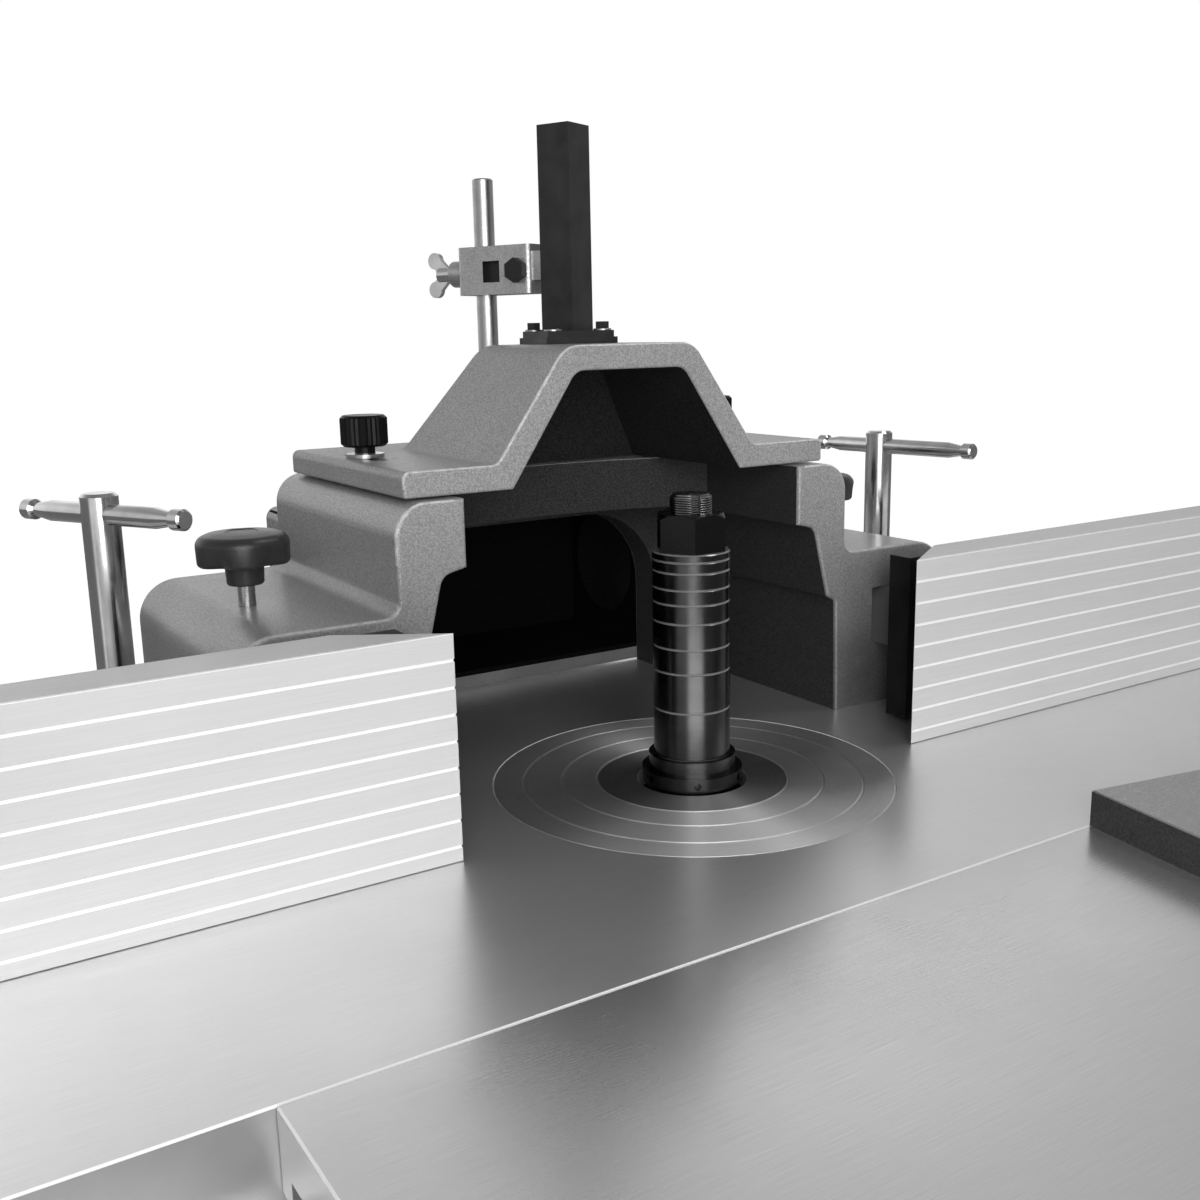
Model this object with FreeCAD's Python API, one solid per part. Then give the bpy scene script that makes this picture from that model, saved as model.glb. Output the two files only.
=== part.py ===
import FreeCAD, Part
import math
import os
from FreeCAD import Vector

# Spindle moulder with a cast dust hood, a split fence, a sliding table and a rise-and-fall spindle.
# All lengths are millimetres. While the pieces are modelled, the origin is where the spindle axis
# meets the table surface, X runs along the fence, Y to the back and Z up. The finished pieces are
# lifted by the table height, so that the machine stands on the floor.

# General
table_height = 860.0
overrun = 2.0
slide_gap = 0.3
run_gap = 0.05
full_turn = 360.0

# Table casting
table_half_length = 600.0
table_front = -203.5
table_back = 330.0
table_thick = 30.0
table_edge_chamfer = 1.0
skirt_depth = 70.0
skirt_wall = 14.0
frame_rib_depth = 80.0
frame_rib_wall = 14.0
cross_rib_x = 455.0
cross_rib_wall = 12.0
cross_rib_depth = 60.0

# Table rings, nested in stepped seats
ring_outer_radius = 132.5
ring_large_radius = 112.0
ring_small_radius = 86.5
ring_inner_radius = 63.5
ring_hole_radius = 36.0
ring_thick = 12.0
ring_lip = 6.0
ring_step = 6.0
ring_chamfer = 0.9

# Spindle arbor with its loose collars and nut
flange_radius = 33.0
flange_thick = 9.0
shoulder_radius = 28.5
shoulder_height = 18.4
tommy_hole_radius = 2.4
tommy_hole_depth = 9.0
tommy_hole_count = 6
arbor_radius = 15.0
collar_radius = 25.0
collar_stack = 134.6
collar_chamfer = 0.8
collar_height_shares = (0.236, 0.192, 0.119, 0.123, 0.091, 0.071, 0.079, 0.052, 0.037)
nut_flats = 41.0
nut_height = 24.0
nut_chamfer = 3.0
thread_radius = 13.5
arbor_top = 189.0
arbor_chamfer = 2.0
keyway_width = 6.0
keyway_depth = 4.0
keyway_angle = -22.0

# Spindle housing and bearings
neck_radius = 27.0
housing_radius = 55.0
housing_top = -30.0
housing_bottom = -290.0
housing_cap = 5.0
housing_relief_radius = 34.0
bearing_outer_radius = 40.0
bearing_seat_radius = 20.0
bearing_width = 18.0
bearing_spacer = 2.0
bearing_race_wall = 5.0
bearing_shield_depth = 0.8

# Pulleys and belt
pulley_step_height = 18.0
pulley_gap = 12.0
pulley_bore_radius = 14.0
spindle_step_low = 32.0
spindle_step_mid = 40.0
spindle_step_high = 48.0
motor_step_low = 66.0
motor_step_mid = 58.0
motor_step_high = 50.0
pulley_flange = 3.0
belt_thick = 5.0
belt_width = 14.0

# Motor, hung from the carriage
motor_y = 195.0
motor_radius = 68.0
motor_fin_height = 8.0
motor_fin_count = 20
motor_fin_share = 0.36
motor_length = 170.0
motor_flange_thick = 12.0
motor_flange_half = 74.0
motor_shaft_radius = 12.0
motor_bearing_depth = 60.0
fan_cover_length = 42.0
fan_cover_wall = 2.0
fan_slot_count = 10
fan_slot_width = 5.0
terminal_width = 70.0
terminal_height = 60.0
terminal_depth = 26.0
motor_plate_thick = 14.0
motor_plate_half = 84.0

# Carriage on two columns, raised by a screw
column_x = 120.0
column_y = -100.0
column_radius = 17.0
column_boss_radius = 30.0
column_boss_depth = 32.0
sleeve_radius = 30.0
carriage_top = -110.0
carriage_bottom = -276.0
carriage_ring_wall = 20.0
carriage_web = 24.0
carriage_neck_half = 46.0
screw_boss_radius = 24.0
screw_clear = 2.0
screw_radius = 10.0
screw_top = -75.0
nut_radius = 19.0
nut_flange_radius = 28.0
nut_flange_thick = 8.0
lead_nut_length = 30.0
rise_drop = 120.0

# Fixed yoke under the columns, and the bevel drive to the handwheel
yoke_top = -440.0
yoke_thick = 34.0
yoke_half_width = 34.0
yoke_end = 34.0
gear_pitch_radius = 24.0
gear_face_share = 0.62
gear_tooth_count = 16
gear_tip_angle = 49.0
gear_root_angle = 39.0
gear_tip_share = 0.22
gear_root_share = 0.56
gear_gap = 8.0
wheel_shaft_radius = 9.0
shaft_bearing_thick = 20.0
shaft_bearing_half = 20.0
bush_radius = 24.0
bush_thick = 12.0
wheel_hub_radius = 21.0
wheel_hub_length = 30.0
wheel_hub_gap = 22.0
wheel_rim_radius = 92.0
wheel_rim_bar = 9.0
wheel_spoke_radius = 7.0
wheel_spoke_count = 3
grip_pin_radius = 5.0
grip_radius = 12.0
grip_waist_radius = 9.5
grip_length = 70.0

# Sheet steel cabinet
cabinet_half = 310.0
cabinet_front = -185.0
cabinet_back = 320.0
cabinet_sheet = 4.0
cabinet_round = 16.0
cabinet_top_flange = 36.0
cabinet_top_thick = 6.0
base_reach = 40.0
base_thick = 12.0
base_inner = 30.0
base_bar_half = 40.0
floor_hole_radius = 7.0
floor_hole_inset = 18.0
louvre_count = 8
louvre_half = 90.0
louvre_height = 8.0
louvre_pitch = 24.0
louvre_top = -180.0
front_hole_radius = 15.0

# Cabinet door on lift-off hinges
door_front = -120.0
door_back = 245.0
door_bottom = -780.0
door_top = -200.0
door_overlap = 12.0
door_sheet = 3.0
door_corner = 14.0
door_knob_radius = 14.0
door_knob_length = 20.0
door_knob_inset = 28.0
hinge_barrel_radius = 7.0
hinge_pin_radius = 3.5
hinge_barrel_length = 26.0
hinge_strap = 26.0
hinge_inset = 80.0

# Switch box on the cabinet front
switch_x = -225.0
switch_half = 42.0
switch_depth = 58.0
switch_top = -230.0
switch_bottom = -370.0
switch_round = 8.0
button_radius = 14.0
stop_radius = 19.0
button_stem_radius = 8.0
button_pitch = 62.0
button_proud = 14.0
button_travel = 5.0

# Cast dust hood
hood_front = 54.5
hood_back = 276.0
hood_wall = 29.0
casting_shift = 3.0
pillar_top = 191.5
pillar_inner = 134.8
pillar_outer = 181.6
pillar_round = 21.0
seat_rise = 1.5
seat_inner = 141.0
seat_outer = 157.0
seat_inset = 40.0
shelf_height = 123.0
shelf_fillet = 10.0
wing_end = 287.0
wing_round = 28.0
hood_edge_round = 2.5
throat_foot = 175.0
throat_ledge_outer = 173.0
throat_ledge_inner = 165.0
throat_ledge_low = 87.0
throat_ledge_high = 91.0
throat_step = 151.5
throat_step_low = 144.5
throat_step_high = 148.4
throat_round = 9.0
band_low = 152.0
band_centre_y = 197.0
band_side_y = 165.0
arch_half = 142.0
arch_top = 141.0
arch_round = 66.0
wing_wall = 12.0
wing_cavity_top = 38.0
lug_end = 352.0
lug_thick = 24.0
lug_front = 98.0
lug_back = 228.0
lug_round = 12.0

# Dust chute behind the hood
chute_half = 150.0
chute_bottom = 12.0
chute_top = 152.0
chute_back = 396.0
chute_wall = 4.0
chute_round = 10.0
spigot_radius = 50.0
spigot_length = 62.0

# T-handle clamps that hold the hood to the table
clamp_x = 324.0
clamp_y = 163.0
clamp_post_radius = 10.0
clamp_post_top = 201.0
clamp_post_crown = 2.0
clamp_washer_radius = 19.0
clamp_washer_thick = 6.0
clamp_screw_radius = 8.0
clamp_slot_half = 52.0
clamp_slot_gap = 1.0
clamp_bar_height = 188.0
clamp_bar_radius = 5.6
clamp_bar_half = 81.0
clamp_groove_inset = 9.0
clamp_groove_width = 3.0
clamp_groove_depth = 0.9
clamp_angle_left = -61.3
clamp_angle_right = -81.5
clamp_shift_right = 12.0

# Star knobs that lock the fence carriers
star_x = 243.0
star_y = 149.5
star_radius = 29.5
star_lobes = 5
star_angle = -37.8
star_lobe_depth = 4.5
star_bottom = 150.0
star_top = 172.0
star_crown = 5.0
star_hub_radius = 12.4
star_hub_bottom = 137.0
star_stem_radius = 5.5

# Fence carriers and fence plates
carrier_inner = 197.0
carrier_outer = 330.0
carrier_thick = 20.0
carrier_bottom = 3.0
carrier_top = 125.0
nose_inner = 214.0
nose_outer = 274.0
nose_bottom = 50.0
nose_top = 92.0
nose_round = 12.0
nose_back = 190.0
nose_room = 24.0
fence_thick = 37.0
fence_height = 132.0
fence_lift = 0.5
fence_length = 420.0
fence_mitre = 56.0
fence_left_nose = 187.0
fence_right_nose = 165.0
groove_count = 8
groove_first = 9.2
groove_pitch = 15.4
groove_width = 1.6
groove_depth = 1.2
slot_low = 38.0
slot_high = 102.0
slot_mouth = 10.0
slot_lip = 4.0
slot_head = 18.0
slot_head_depth = 8.0
fence_wall = 4.0
fence_web = 4.0
fence_bolt_radius = 4.0
fence_bolt_first = 235.0
fence_bolt_second = 305.0
fence_bolt_head = 6.5
fence_nut_thick = 7.0
fence_nut_radius = 7.5

# Hat-section cover over the cutter
cover_front = 64.0
cover_back = 264.0
cover_foot_back = 210.0
cover_crown_back = 181.0
cover_half = 168.0
cover_thick = 16.5
cover_bend_outer = 103.0
cover_bend_inner = 92.0
cover_top_height = 282.3
cover_crown_outer = 51.0
cover_crown_inner = 43.0
cover_crown_round = 20.0
cover_hollow_round = 12.0
cover_bend_round = 8.0
cover_corner_round = 5.0
cover_edge_round = 2.0
cover_back_wall = 14.0
cover_knob_x = 148.0
cover_knob_y = 172.0
cover_slide = 25.0
cover_stud_radius = 5.0
cover_stud_depth = 25.0
cover_washer_radius = 13.0
cover_washer_thick = 2.5
cover_neck_radius = 7.0
cover_neck_length = 5.0
cover_knob_radius = 16.0
cover_knob_height = 21.0
cover_knob_flutes = 30
cover_knob_flute_depth = 0.7
cover_dowel_x = 135.0
cover_dowel_y = 152.5
cover_dowel_radius = 2.2
cover_dowel_depth = 6.0

# Hold-down post, clamp and rod on the cover
post_y = 146.5
post_half = 13.0
post_angle = 25.0
post_top = 430.0
post_flange_half = 26.8
post_flange_angle = -8.6
post_flange_thick = 4.5
post_upper_share = 0.93
post_bolt_place = 18.7
post_bolt_radius = 3.5
post_bolt_depth = 10.0
post_bolt_head_flats = 9.0
post_bolt_head = 6.0
post_wall = 4.0
post_slot_bottom = 326.0
post_slot_top = 408.0
clamp_near = 22.0
clamp_far = 87.0
clamp_half = 14.0
clamp_bottom = 318.0
clamp_top = 352.0
clamp_round = 4.0
clamp_window = 15.0
clamp_window_reach = 56.0
clamp_window_depth = 5.0
clamp_boss_radius = 9.5
clamp_boss_length = 13.0
clamp_stud_radius = 4.0
clamp_stud_head = 7.0
clamp_stud_head_thick = 5.0
arm_half = 10.0
arm_bottom = 327.0
arm_top = 347.0
arm_bolt_reach = 32.0
arm_bolt_flats = 15.0
arm_bolt_head = 6.0
rod_reach = 71.5
rod_radius = 7.5
rod_bottom = 226.0
rod_top = 400.0
rod_chamfer = 1.0
wing_bolt_height = 334.0
wing_bolt_radius = 4.0
wing_hub_radius = 5.5
wing_hub_length = 14.0
wing_span = 10.5
wing_reach = 18.0
wing_lobe_radius = 6.0
wing_leaf = 4.0

# Sliding table on two rods
sliding_half = 350.0
sliding_gap = 1.0
sliding_width = 250.0
sliding_thick = 26.0
sliding_proud = 0.3
sliding_rib_depth = 12.0
sliding_rib_wall = 12.0
rail_inset = 4.0
rod_front_share = 0.74
rod_back_share = 0.26
guide_rod_radius = 12.5
guide_rod_z = -78.0
block_wall = 12.0
block_half_length = 42.0
block_x = 230.0
block_open_angle_share = 0.62
support_width = 14.0
rail_top = -104.0
rail_bottom = -164.0
rail_wall = 6.0
rail_hang_width = 90.0
rail_hang_x = 380.0
rail_hang_thick = 16.0
rail_hang_top = -44.0

# Swivelling mitre plate on the sliding table
mitre_corner_x = 139.6
mitre_corner_y = -203.8
mitre_angle = -10.0
mitre_length = 320.0
mitre_width = 150.0
mitre_thick = 22.0
mitre_edge_chamfer = 0.8
mitre_pivot_radius = 9.0
mitre_slot_radius = 5.5
mitre_slot_reach = 60.0


def block(x0, x1, y0, y1, z0, z1):
    """Rectangular block between two corners."""
    return Part.makeBox(x1 - x0, y1 - y0, z1 - z0, Vector(x0, y0, z0))


def upright(radius, x, y, z0, z1):
    """Vertical round bar."""
    return Part.makeCylinder(radius, z1 - z0, Vector(x, y, z0))


def bar(radius, start, end):
    """Round bar between two points."""
    return Part.makeCylinder(radius, (end - start).Length, start, end - start)


def turned(points, x=0.0, y=0.0):
    """Solid turned about a vertical axis from an outline of (radius, height) points."""
    places = [Vector(x + r, y, z) for r, z in points + points[:1]]
    return Part.Face(Part.makePolygon(places)).revolve(Vector(x, y, 0), Vector(0, 0, 1), full_turn)


def outline(corners, place):
    """Closed wire through (u, v) or (u, v, radius) corners, each rounded by its radius."""
    edges = []
    last = None
    first = None
    count = len(corners)
    for i, corner in enumerate(corners):
        here = Vector(corner[0], corner[1], 0)
        radius = corner[2] if len(corner) > 2 else 0
        back = Vector(corners[i - 1][0], corners[i - 1][1], 0) - here
        ahead = Vector(corners[(i + 1) % count][0], corners[(i + 1) % count][1], 0) - here
        back.normalize()
        ahead.normalize()
        enter = leave = here
        if radius > 0:
            half = back.getAngle(ahead) / 2
            enter = here + back * (radius / math.tan(half))
            leave = here + ahead * (radius / math.tan(half))
            inward = back + ahead
            inward.normalize()
            middle = here + inward * (radius / math.sin(half) - radius)
        if last is not None and (enter - last).Length > 0:
            edges.append(Part.LineSegment(place(last), place(enter)).toShape())
        if radius > 0:
            edges.append(Part.Arc(place(enter), place(middle), place(leave)).toShape())
        first = enter if first is None else first
        last = leave
    edges.append(Part.LineSegment(place(last), place(first)).toShape())
    return Part.Wire(edges)


def across(corners, y0, y1):
    """Outline of (x, z) corners carried from y0 to y1."""
    wire = outline(corners, lambda p: Vector(p.x, y0, p.y))
    return Part.Face(wire).extrude(Vector(0, y1 - y0, 0))


def upward(corners, z0, z1):
    """Outline of (x, y) corners carried from z0 to z1."""
    wire = outline(corners, lambda p: Vector(p.x, p.y, z0))
    return Part.Face(wire).extrude(Vector(0, 0, z1 - z0))


def along(corners, x0, x1):
    """Outline of (y, z) corners carried from x0 to x1."""
    wire = outline(corners, lambda p: Vector(x0, p.x, p.y))
    return Part.Face(wire).extrude(Vector(x1 - x0, 0, 0))


def rectangle(u0, u1, v0, v1, radius=0):
    """Corners of a rectangle, all rounded alike."""
    return [(u0, v0, radius), (u1, v0, radius), (u1, v1, radius), (u0, v1, radius)]


def joined(first, *others):
    """One solid from pieces that touch."""
    return first.multiFuse(list(others)).removeSplitter()


def hexagon(flats, x, y, z0, z1):
    """Upright hexagonal prism of a width across its flats."""
    reach = flats / 2 / math.cos(math.pi / 6)
    angles = [k * math.pi / 3 for k in range(6)]
    return upward([(x + reach * math.cos(a), y + reach * math.sin(a)) for a in angles], z0, z1)


def turned_copy(shape, degrees, x=0.0, y=0.0):
    """Copy turned about a vertical line."""
    copy = shape.copy()
    copy.rotate(Vector(x, y, 0), Vector(0, 0, 1), degrees)
    return copy


def flipped(shape):
    """Mirror image on the other side of the spindle."""
    return shape.mirror(Vector(0, 0, 0), Vector(1, 0, 0))


def edges_where(shape, wanted):
    """Edges whose box passes a test."""
    return [edge for edge in shape.Edges if wanted(edge.BoundBox)]


def flat_in_y(box, y):
    """Whether an edge's box lies in the plane at one y."""
    return abs(box.YMin - y) < run_gap and abs(box.YMax - y) < run_gap


def make_table():
    plate = block(-table_half_length, table_half_length, table_front, table_back, -table_thick, 0)
    top_front = edges_where(plate, lambda b: flat_in_y(b, table_front) and abs(b.ZMin) < run_gap)
    plate = plate.makeChamfer(table_edge_chamfer, top_front)
    skirt = block(-table_half_length, table_half_length, table_front, table_back, -skirt_depth, -table_thick)
    skirt = skirt.cut(block(
        skirt_wall - table_half_length, table_half_length - skirt_wall,
        table_front + skirt_wall, table_back - skirt_wall, -skirt_depth - overrun, -table_thick))
    frame = block(-cabinet_half, cabinet_half, cabinet_front, cabinet_back, -frame_rib_depth, -table_thick)
    frame = frame.cut(block(
        frame_rib_wall - cabinet_half, cabinet_half - frame_rib_wall,
        cabinet_front + frame_rib_wall, cabinet_back - frame_rib_wall,
        -frame_rib_depth - overrun, -table_thick))
    pieces = [skirt, frame]
    for side in (-1, 1):
        middle = side * cross_rib_x
        pieces.append(block(
            middle - cross_rib_wall / 2, middle + cross_rib_wall / 2,
            table_front + skirt_wall / 2, table_back - skirt_wall / 2, -cross_rib_depth, -table_thick))
        pieces.append(upright(
            column_boss_radius, side * column_x, column_y, -table_thick - column_boss_depth, -table_thick))
    table = joined(plate, *pieces)
    cuts = [
        upright(ring_outer_radius, 0, 0, -ring_lip, overrun),
        upright(ring_outer_radius - ring_step, 0, 0, -table_thick - overrun, 0)]
    for side in (-1, 1):
        cuts.append(upright(
            clamp_screw_radius + run_gap, side * clamp_x, clamp_y, -table_thick - overrun, overrun))
        cuts.append(upright(
            column_radius + run_gap, side * column_x, column_y,
            -table_thick - column_boss_depth - overrun, -table_thick))
    return table.cut(Part.makeCompound(cuts))


def make_ring(outer, inner, stepped):
    rim = outer - slide_gap
    points = [(rim, -ring_chamfer), (rim - ring_chamfer, 0),
              (inner + ring_chamfer, 0), (inner, -ring_chamfer)]
    if stepped:
        points += [(inner, -ring_lip), (inner - ring_step, -ring_lip), (inner - ring_step, -ring_thick)]
    else:
        points += [(inner, -ring_thick)]
    points += [(rim - ring_step, -ring_thick), (rim - ring_step, -ring_lip), (rim, -ring_lip)]
    return turned(points)


def make_cabinet():
    outer = rectangle(-cabinet_half, cabinet_half, cabinet_front, cabinet_back, cabinet_round)
    inner = rectangle(
        cabinet_sheet - cabinet_half, cabinet_half - cabinet_sheet,
        cabinet_front + cabinet_sheet, cabinet_back - cabinet_sheet, cabinet_round - cabinet_sheet)
    top = -frame_rib_depth
    shell = upward(outer, -table_height, top)
    shell = shell.cut(upward(inner, -table_height - overrun, top - cabinet_top_thick))
    shell = shell.cut(upward(rectangle(
        cabinet_top_flange - cabinet_half, cabinet_half - cabinet_top_flange,
        cabinet_front + cabinet_top_flange, cabinet_back - cabinet_top_flange, cabinet_round),
        top - cabinet_top_thick - overrun, top + overrun))
    base = upward(rectangle(
        -cabinet_half - base_reach, cabinet_half + base_reach,
        cabinet_front - base_reach, cabinet_back + base_reach, cabinet_round),
        -table_height, base_thick - table_height)
    base = base.cut(upward(rectangle(
        base_inner - cabinet_half, cabinet_half - base_inner,
        cabinet_front + base_inner, cabinet_back - base_inner, cabinet_round),
        -table_height - overrun, base_thick - table_height + overrun))
    floor_bar = block(-cabinet_half, cabinet_half, -base_bar_half, base_bar_half,
                      -table_height, base_thick - table_height)
    axis_x, axis_y = door_axis()
    pieces = [base, floor_bar]
    for z in hinge_heights():
        strap = block(
            cabinet_half, cabinet_half + door_sheet, axis_y, axis_y + hinge_strap, z, z + hinge_barrel_length)
        barrel = upright(hinge_barrel_radius, axis_x, axis_y, z, z + hinge_barrel_length)
        pin = upright(hinge_pin_radius, axis_x, axis_y, z, z + hinge_barrel_length * 2)
        pieces += [strap, barrel, pin]
    cabinet = joined(shell, *pieces)
    cuts = [block(
        cabinet_half - cabinet_sheet - overrun, cabinet_half + run_gap,
        door_front + door_overlap, door_back - door_overlap,
        door_bottom + door_overlap, door_top - door_overlap)]
    for k in range(louvre_count):
        z = louvre_top - k * louvre_pitch
        cuts.append(block(
            -louvre_half, louvre_half, cabinet_back - cabinet_sheet - overrun, cabinet_back + overrun,
            z - louvre_height, z))
    cuts.append(bar(
        front_hole_radius, Vector(0, cabinet_front - overrun, shaft_height()),
        Vector(0, cabinet_front + cabinet_sheet + overrun, shaft_height())))
    for x in (-1, 1):
        for y in floor_hole_rows():
            cuts.append(upright(
                floor_hole_radius, x * floor_hole_x(), y, -table_height - overrun,
                base_thick - table_height + overrun))
    return cabinet.cut(Part.makeCompound(cuts))


def floor_hole_x():
    return cabinet_half + base_reach - floor_hole_inset


def floor_hole_rows():
    return (cabinet_front - base_reach + floor_hole_inset, cabinet_back + base_reach - floor_hole_inset)


def door_axis():
    """Place of the door's hinge line, just off the cabinet's right side."""
    return cabinet_half + hinge_barrel_radius + slide_gap, door_back + hinge_barrel_radius + slide_gap


def hinge_heights():
    return (door_bottom + hinge_inset, door_top - hinge_inset - hinge_barrel_length * 2)


def make_door():
    axis_x, axis_y = door_axis()
    panel = along(
        rectangle(door_front, door_back, door_bottom, door_top, door_corner),
        cabinet_half, cabinet_half + door_sheet)
    pieces = []
    cuts = []
    for z in hinge_heights():
        low = z + hinge_barrel_length + slide_gap
        high = low + hinge_barrel_length
        pieces.append(block(
            cabinet_half + door_sheet, axis_x, door_back - hinge_strap, axis_y, low, high))
        pieces.append(upright(hinge_barrel_radius, axis_x, axis_y, low, high))
        cuts.append(upright(hinge_pin_radius + run_gap, axis_x, axis_y, low - overrun, high + overrun))
    knob_y = door_front + door_knob_inset
    knob_z = (door_bottom + door_top) / 2
    pieces.append(bar(
        door_knob_radius, Vector(cabinet_half + door_sheet, knob_y, knob_z),
        Vector(cabinet_half + door_sheet + door_knob_length, knob_y, knob_z)))
    door = joined(panel, *pieces)
    return door.cut(Part.makeCompound(cuts))


def make_switch_box():
    box = block(
        switch_x - switch_half, switch_x + switch_half, cabinet_front - switch_depth, cabinet_front,
        switch_bottom, switch_top)
    front = cabinet_front - switch_depth
    box = box.makeFillet(switch_round, edges_where(
        box, lambda b: abs(b.YMax - cabinet_front) > run_gap))
    cuts = []
    for z in button_heights():
        cuts.append(bar(
            button_stem_radius + slide_gap, Vector(switch_x, front - overrun, z),
            Vector(switch_x, front + switch_depth / 2, z)))
    return box.cut(Part.makeCompound(cuts))


def button_heights():
    middle = (switch_top + switch_bottom) / 2
    return (middle + button_pitch / 2, middle - button_pitch / 2)


def make_button(radius, height):
    face = cabinet_front - switch_depth - button_travel - slide_gap
    head = bar(radius, Vector(switch_x, face - button_proud, height), Vector(switch_x, face, height))
    crown = edges_where(head, lambda b: flat_in_y(b, face - button_proud))
    head = head.makeFillet(button_proud / 4, crown)
    stem = bar(
        button_stem_radius, Vector(switch_x, face, height),
        Vector(switch_x, face + switch_depth / 2 - button_travel, height))
    return joined(head, stem)


def make_columns():
    bars = [upright(
        column_radius, side * column_x, column_y, yoke_top - yoke_thick, -table_thick) for side in (-1, 1)]
    return Part.makeCompound(bars)


def gear_apex():
    """Point where the screw's axis and the handwheel shaft's axis meet."""
    return Vector(0, column_y, shaft_height())


def shaft_height():
    return yoke_top - yoke_thick - gear_gap - gear_pitch_radius


def make_yoke():
    end = column_x + yoke_end
    beam = upward(rectangle(
        -end, end, column_y - yoke_half_width, column_y + yoke_half_width, yoke_half_width / 2),
        yoke_top - yoke_thick, yoke_top)
    front = column_y - yoke_half_width
    drop = block(
        -shaft_bearing_half, shaft_bearing_half, front - shaft_bearing_thick, front,
        shaft_height() - shaft_bearing_half, yoke_top - yoke_thick / 2)
    yoke = joined(beam, drop)
    cuts = [upright(screw_radius + run_gap, 0, column_y, yoke_top - yoke_thick - overrun, yoke_top + overrun)]
    for side in (-1, 1):
        cuts.append(upright(
            column_radius + run_gap, side * column_x, column_y,
            yoke_top - yoke_thick - overrun, yoke_top + overrun))
    cuts.append(bar(
        wheel_shaft_radius + run_gap, Vector(0, front - shaft_bearing_thick - overrun, shaft_height()),
        Vector(0, front + overrun, shaft_height())))
    return yoke.cut(Part.makeCompound(cuts))


def bevel_gear():
    """Mitre gear on the Z axis with its apex at the origin and its teeth at 45 degrees."""
    tip = gear_pitch_radius * math.tan(math.radians(gear_tip_angle))
    root = gear_pitch_radius * math.tan(math.radians(gear_root_angle))
    pitch = 2 * math.pi / gear_tooth_count
    wires = []
    for scale in (1.0, gear_face_share):
        points = []
        for k in range(gear_tooth_count):
            for radius, share in ((root, -gear_root_share), (tip, -gear_tip_share),
                                  (tip, gear_tip_share), (root, gear_root_share)):
                angle = pitch * (k + share / 2)
                points.append(Vector(
                    radius * scale * math.cos(angle), radius * scale * math.sin(angle),
                    gear_pitch_radius * scale))
        wires.append(Part.makePolygon(points + points[:1]))
    return Part.makeLoft(wires, True, True)


def make_screw_gear():
    gear = bevel_gear()
    hub = upright(screw_radius + gear_gap, 0, 0, gear_pitch_radius, gear_pitch_radius + gear_gap)
    gear = joined(gear, hub)
    gear = gear.cut(upright(screw_radius + run_gap, 0, 0, -overrun, gear_pitch_radius + gear_gap + overrun))
    gear.translate(gear_apex())
    return gear


def make_shaft_gear():
    gear = bevel_gear()
    gear.rotate(Vector(0, 0, 0), Vector(0, 0, 1), full_turn / 4 + full_turn / gear_tooth_count / 2)
    gear = gear.cut(upright(
        wheel_shaft_radius + run_gap, 0, 0, -overrun, gear_pitch_radius + overrun))
    gear.rotate(Vector(0, 0, 0), Vector(1, 0, 0), full_turn / 4)
    gear.translate(gear_apex())
    return gear


def make_lead_screw():
    apex = gear_apex()
    return upright(screw_radius, 0, column_y, apex.z + gear_pitch_radius * gear_face_share, screw_top)


def wheel_face():
    """Front of the cabinet bush, where the handwheel's hub begins."""
    return cabinet_front - bush_thick - wheel_hub_gap


def make_bush():
    bush = bar(bush_radius, Vector(0, cabinet_front - bush_thick, shaft_height()),
               Vector(0, cabinet_front, shaft_height()))
    spigot = bar(front_hole_radius - run_gap, Vector(0, cabinet_front, shaft_height()),
                 Vector(0, cabinet_front + cabinet_sheet, shaft_height()))
    hole = bar(wheel_shaft_radius + run_gap, Vector(0, cabinet_front - bush_thick - overrun, shaft_height()),
               Vector(0, cabinet_front + cabinet_sheet + overrun, shaft_height()))
    return joined(bush, spigot).cut(hole)


def make_wheel_shaft():
    inner_end = gear_apex().y - gear_pitch_radius * gear_face_share
    return bar(wheel_shaft_radius, Vector(0, wheel_face() - wheel_hub_length, shaft_height()),
               Vector(0, inner_end, shaft_height()))


def make_handwheel():
    z = shaft_height()
    hub = bar(wheel_hub_radius, Vector(0, wheel_face() - wheel_hub_length, z), Vector(0, wheel_face(), z))
    rim_y = wheel_face() - wheel_hub_length + wheel_rim_bar
    rim = Part.makeTorus(wheel_rim_radius, wheel_rim_bar, Vector(0, rim_y, z), Vector(0, 1, 0))
    pieces = [rim]
    for k in range(wheel_spoke_count):
        angle = math.radians(full_turn / 4 + k * full_turn / wheel_spoke_count)
        way = Vector(math.cos(angle), 0, math.sin(angle))
        hub_end = Vector(0, (rim_y + wheel_face()) / 2, z) + way * (wheel_hub_radius / 2)
        rim_end = Vector(0, rim_y, z) + way * wheel_rim_radius
        pieces.append(bar(wheel_spoke_radius, hub_end, rim_end))
    pin_z = z + wheel_rim_radius
    pieces.append(bar(grip_pin_radius, Vector(0, rim_y - wheel_rim_bar - grip_length, pin_z),
                      Vector(0, rim_y, pin_z)))
    wheel = joined(hub, *pieces)
    start = Vector(0, wheel_face() - wheel_hub_length - overrun, z)
    return wheel.cut(bar(wheel_shaft_radius + run_gap, start, Vector(0, wheel_face() + overrun, z)))


def make_grip():
    """Turned grip that spins on the pin of the handwheel."""
    rim_y = wheel_face() - wheel_hub_length + wheel_rim_bar
    near = rim_y - wheel_rim_bar - slide_gap
    hole = grip_pin_radius + run_gap
    points = [(hole, 0), (grip_waist_radius, 0), (grip_radius, grip_length / 2),
              (grip_radius, grip_length * 3 / 4), (grip_waist_radius, grip_length), (hole, grip_length)]
    grip = turned(points)
    grip.rotate(Vector(0, 0, 0), Vector(1, 0, 0), full_turn / 4)
    grip.translate(Vector(0, near, shaft_height() + wheel_rim_radius))
    return grip


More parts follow.
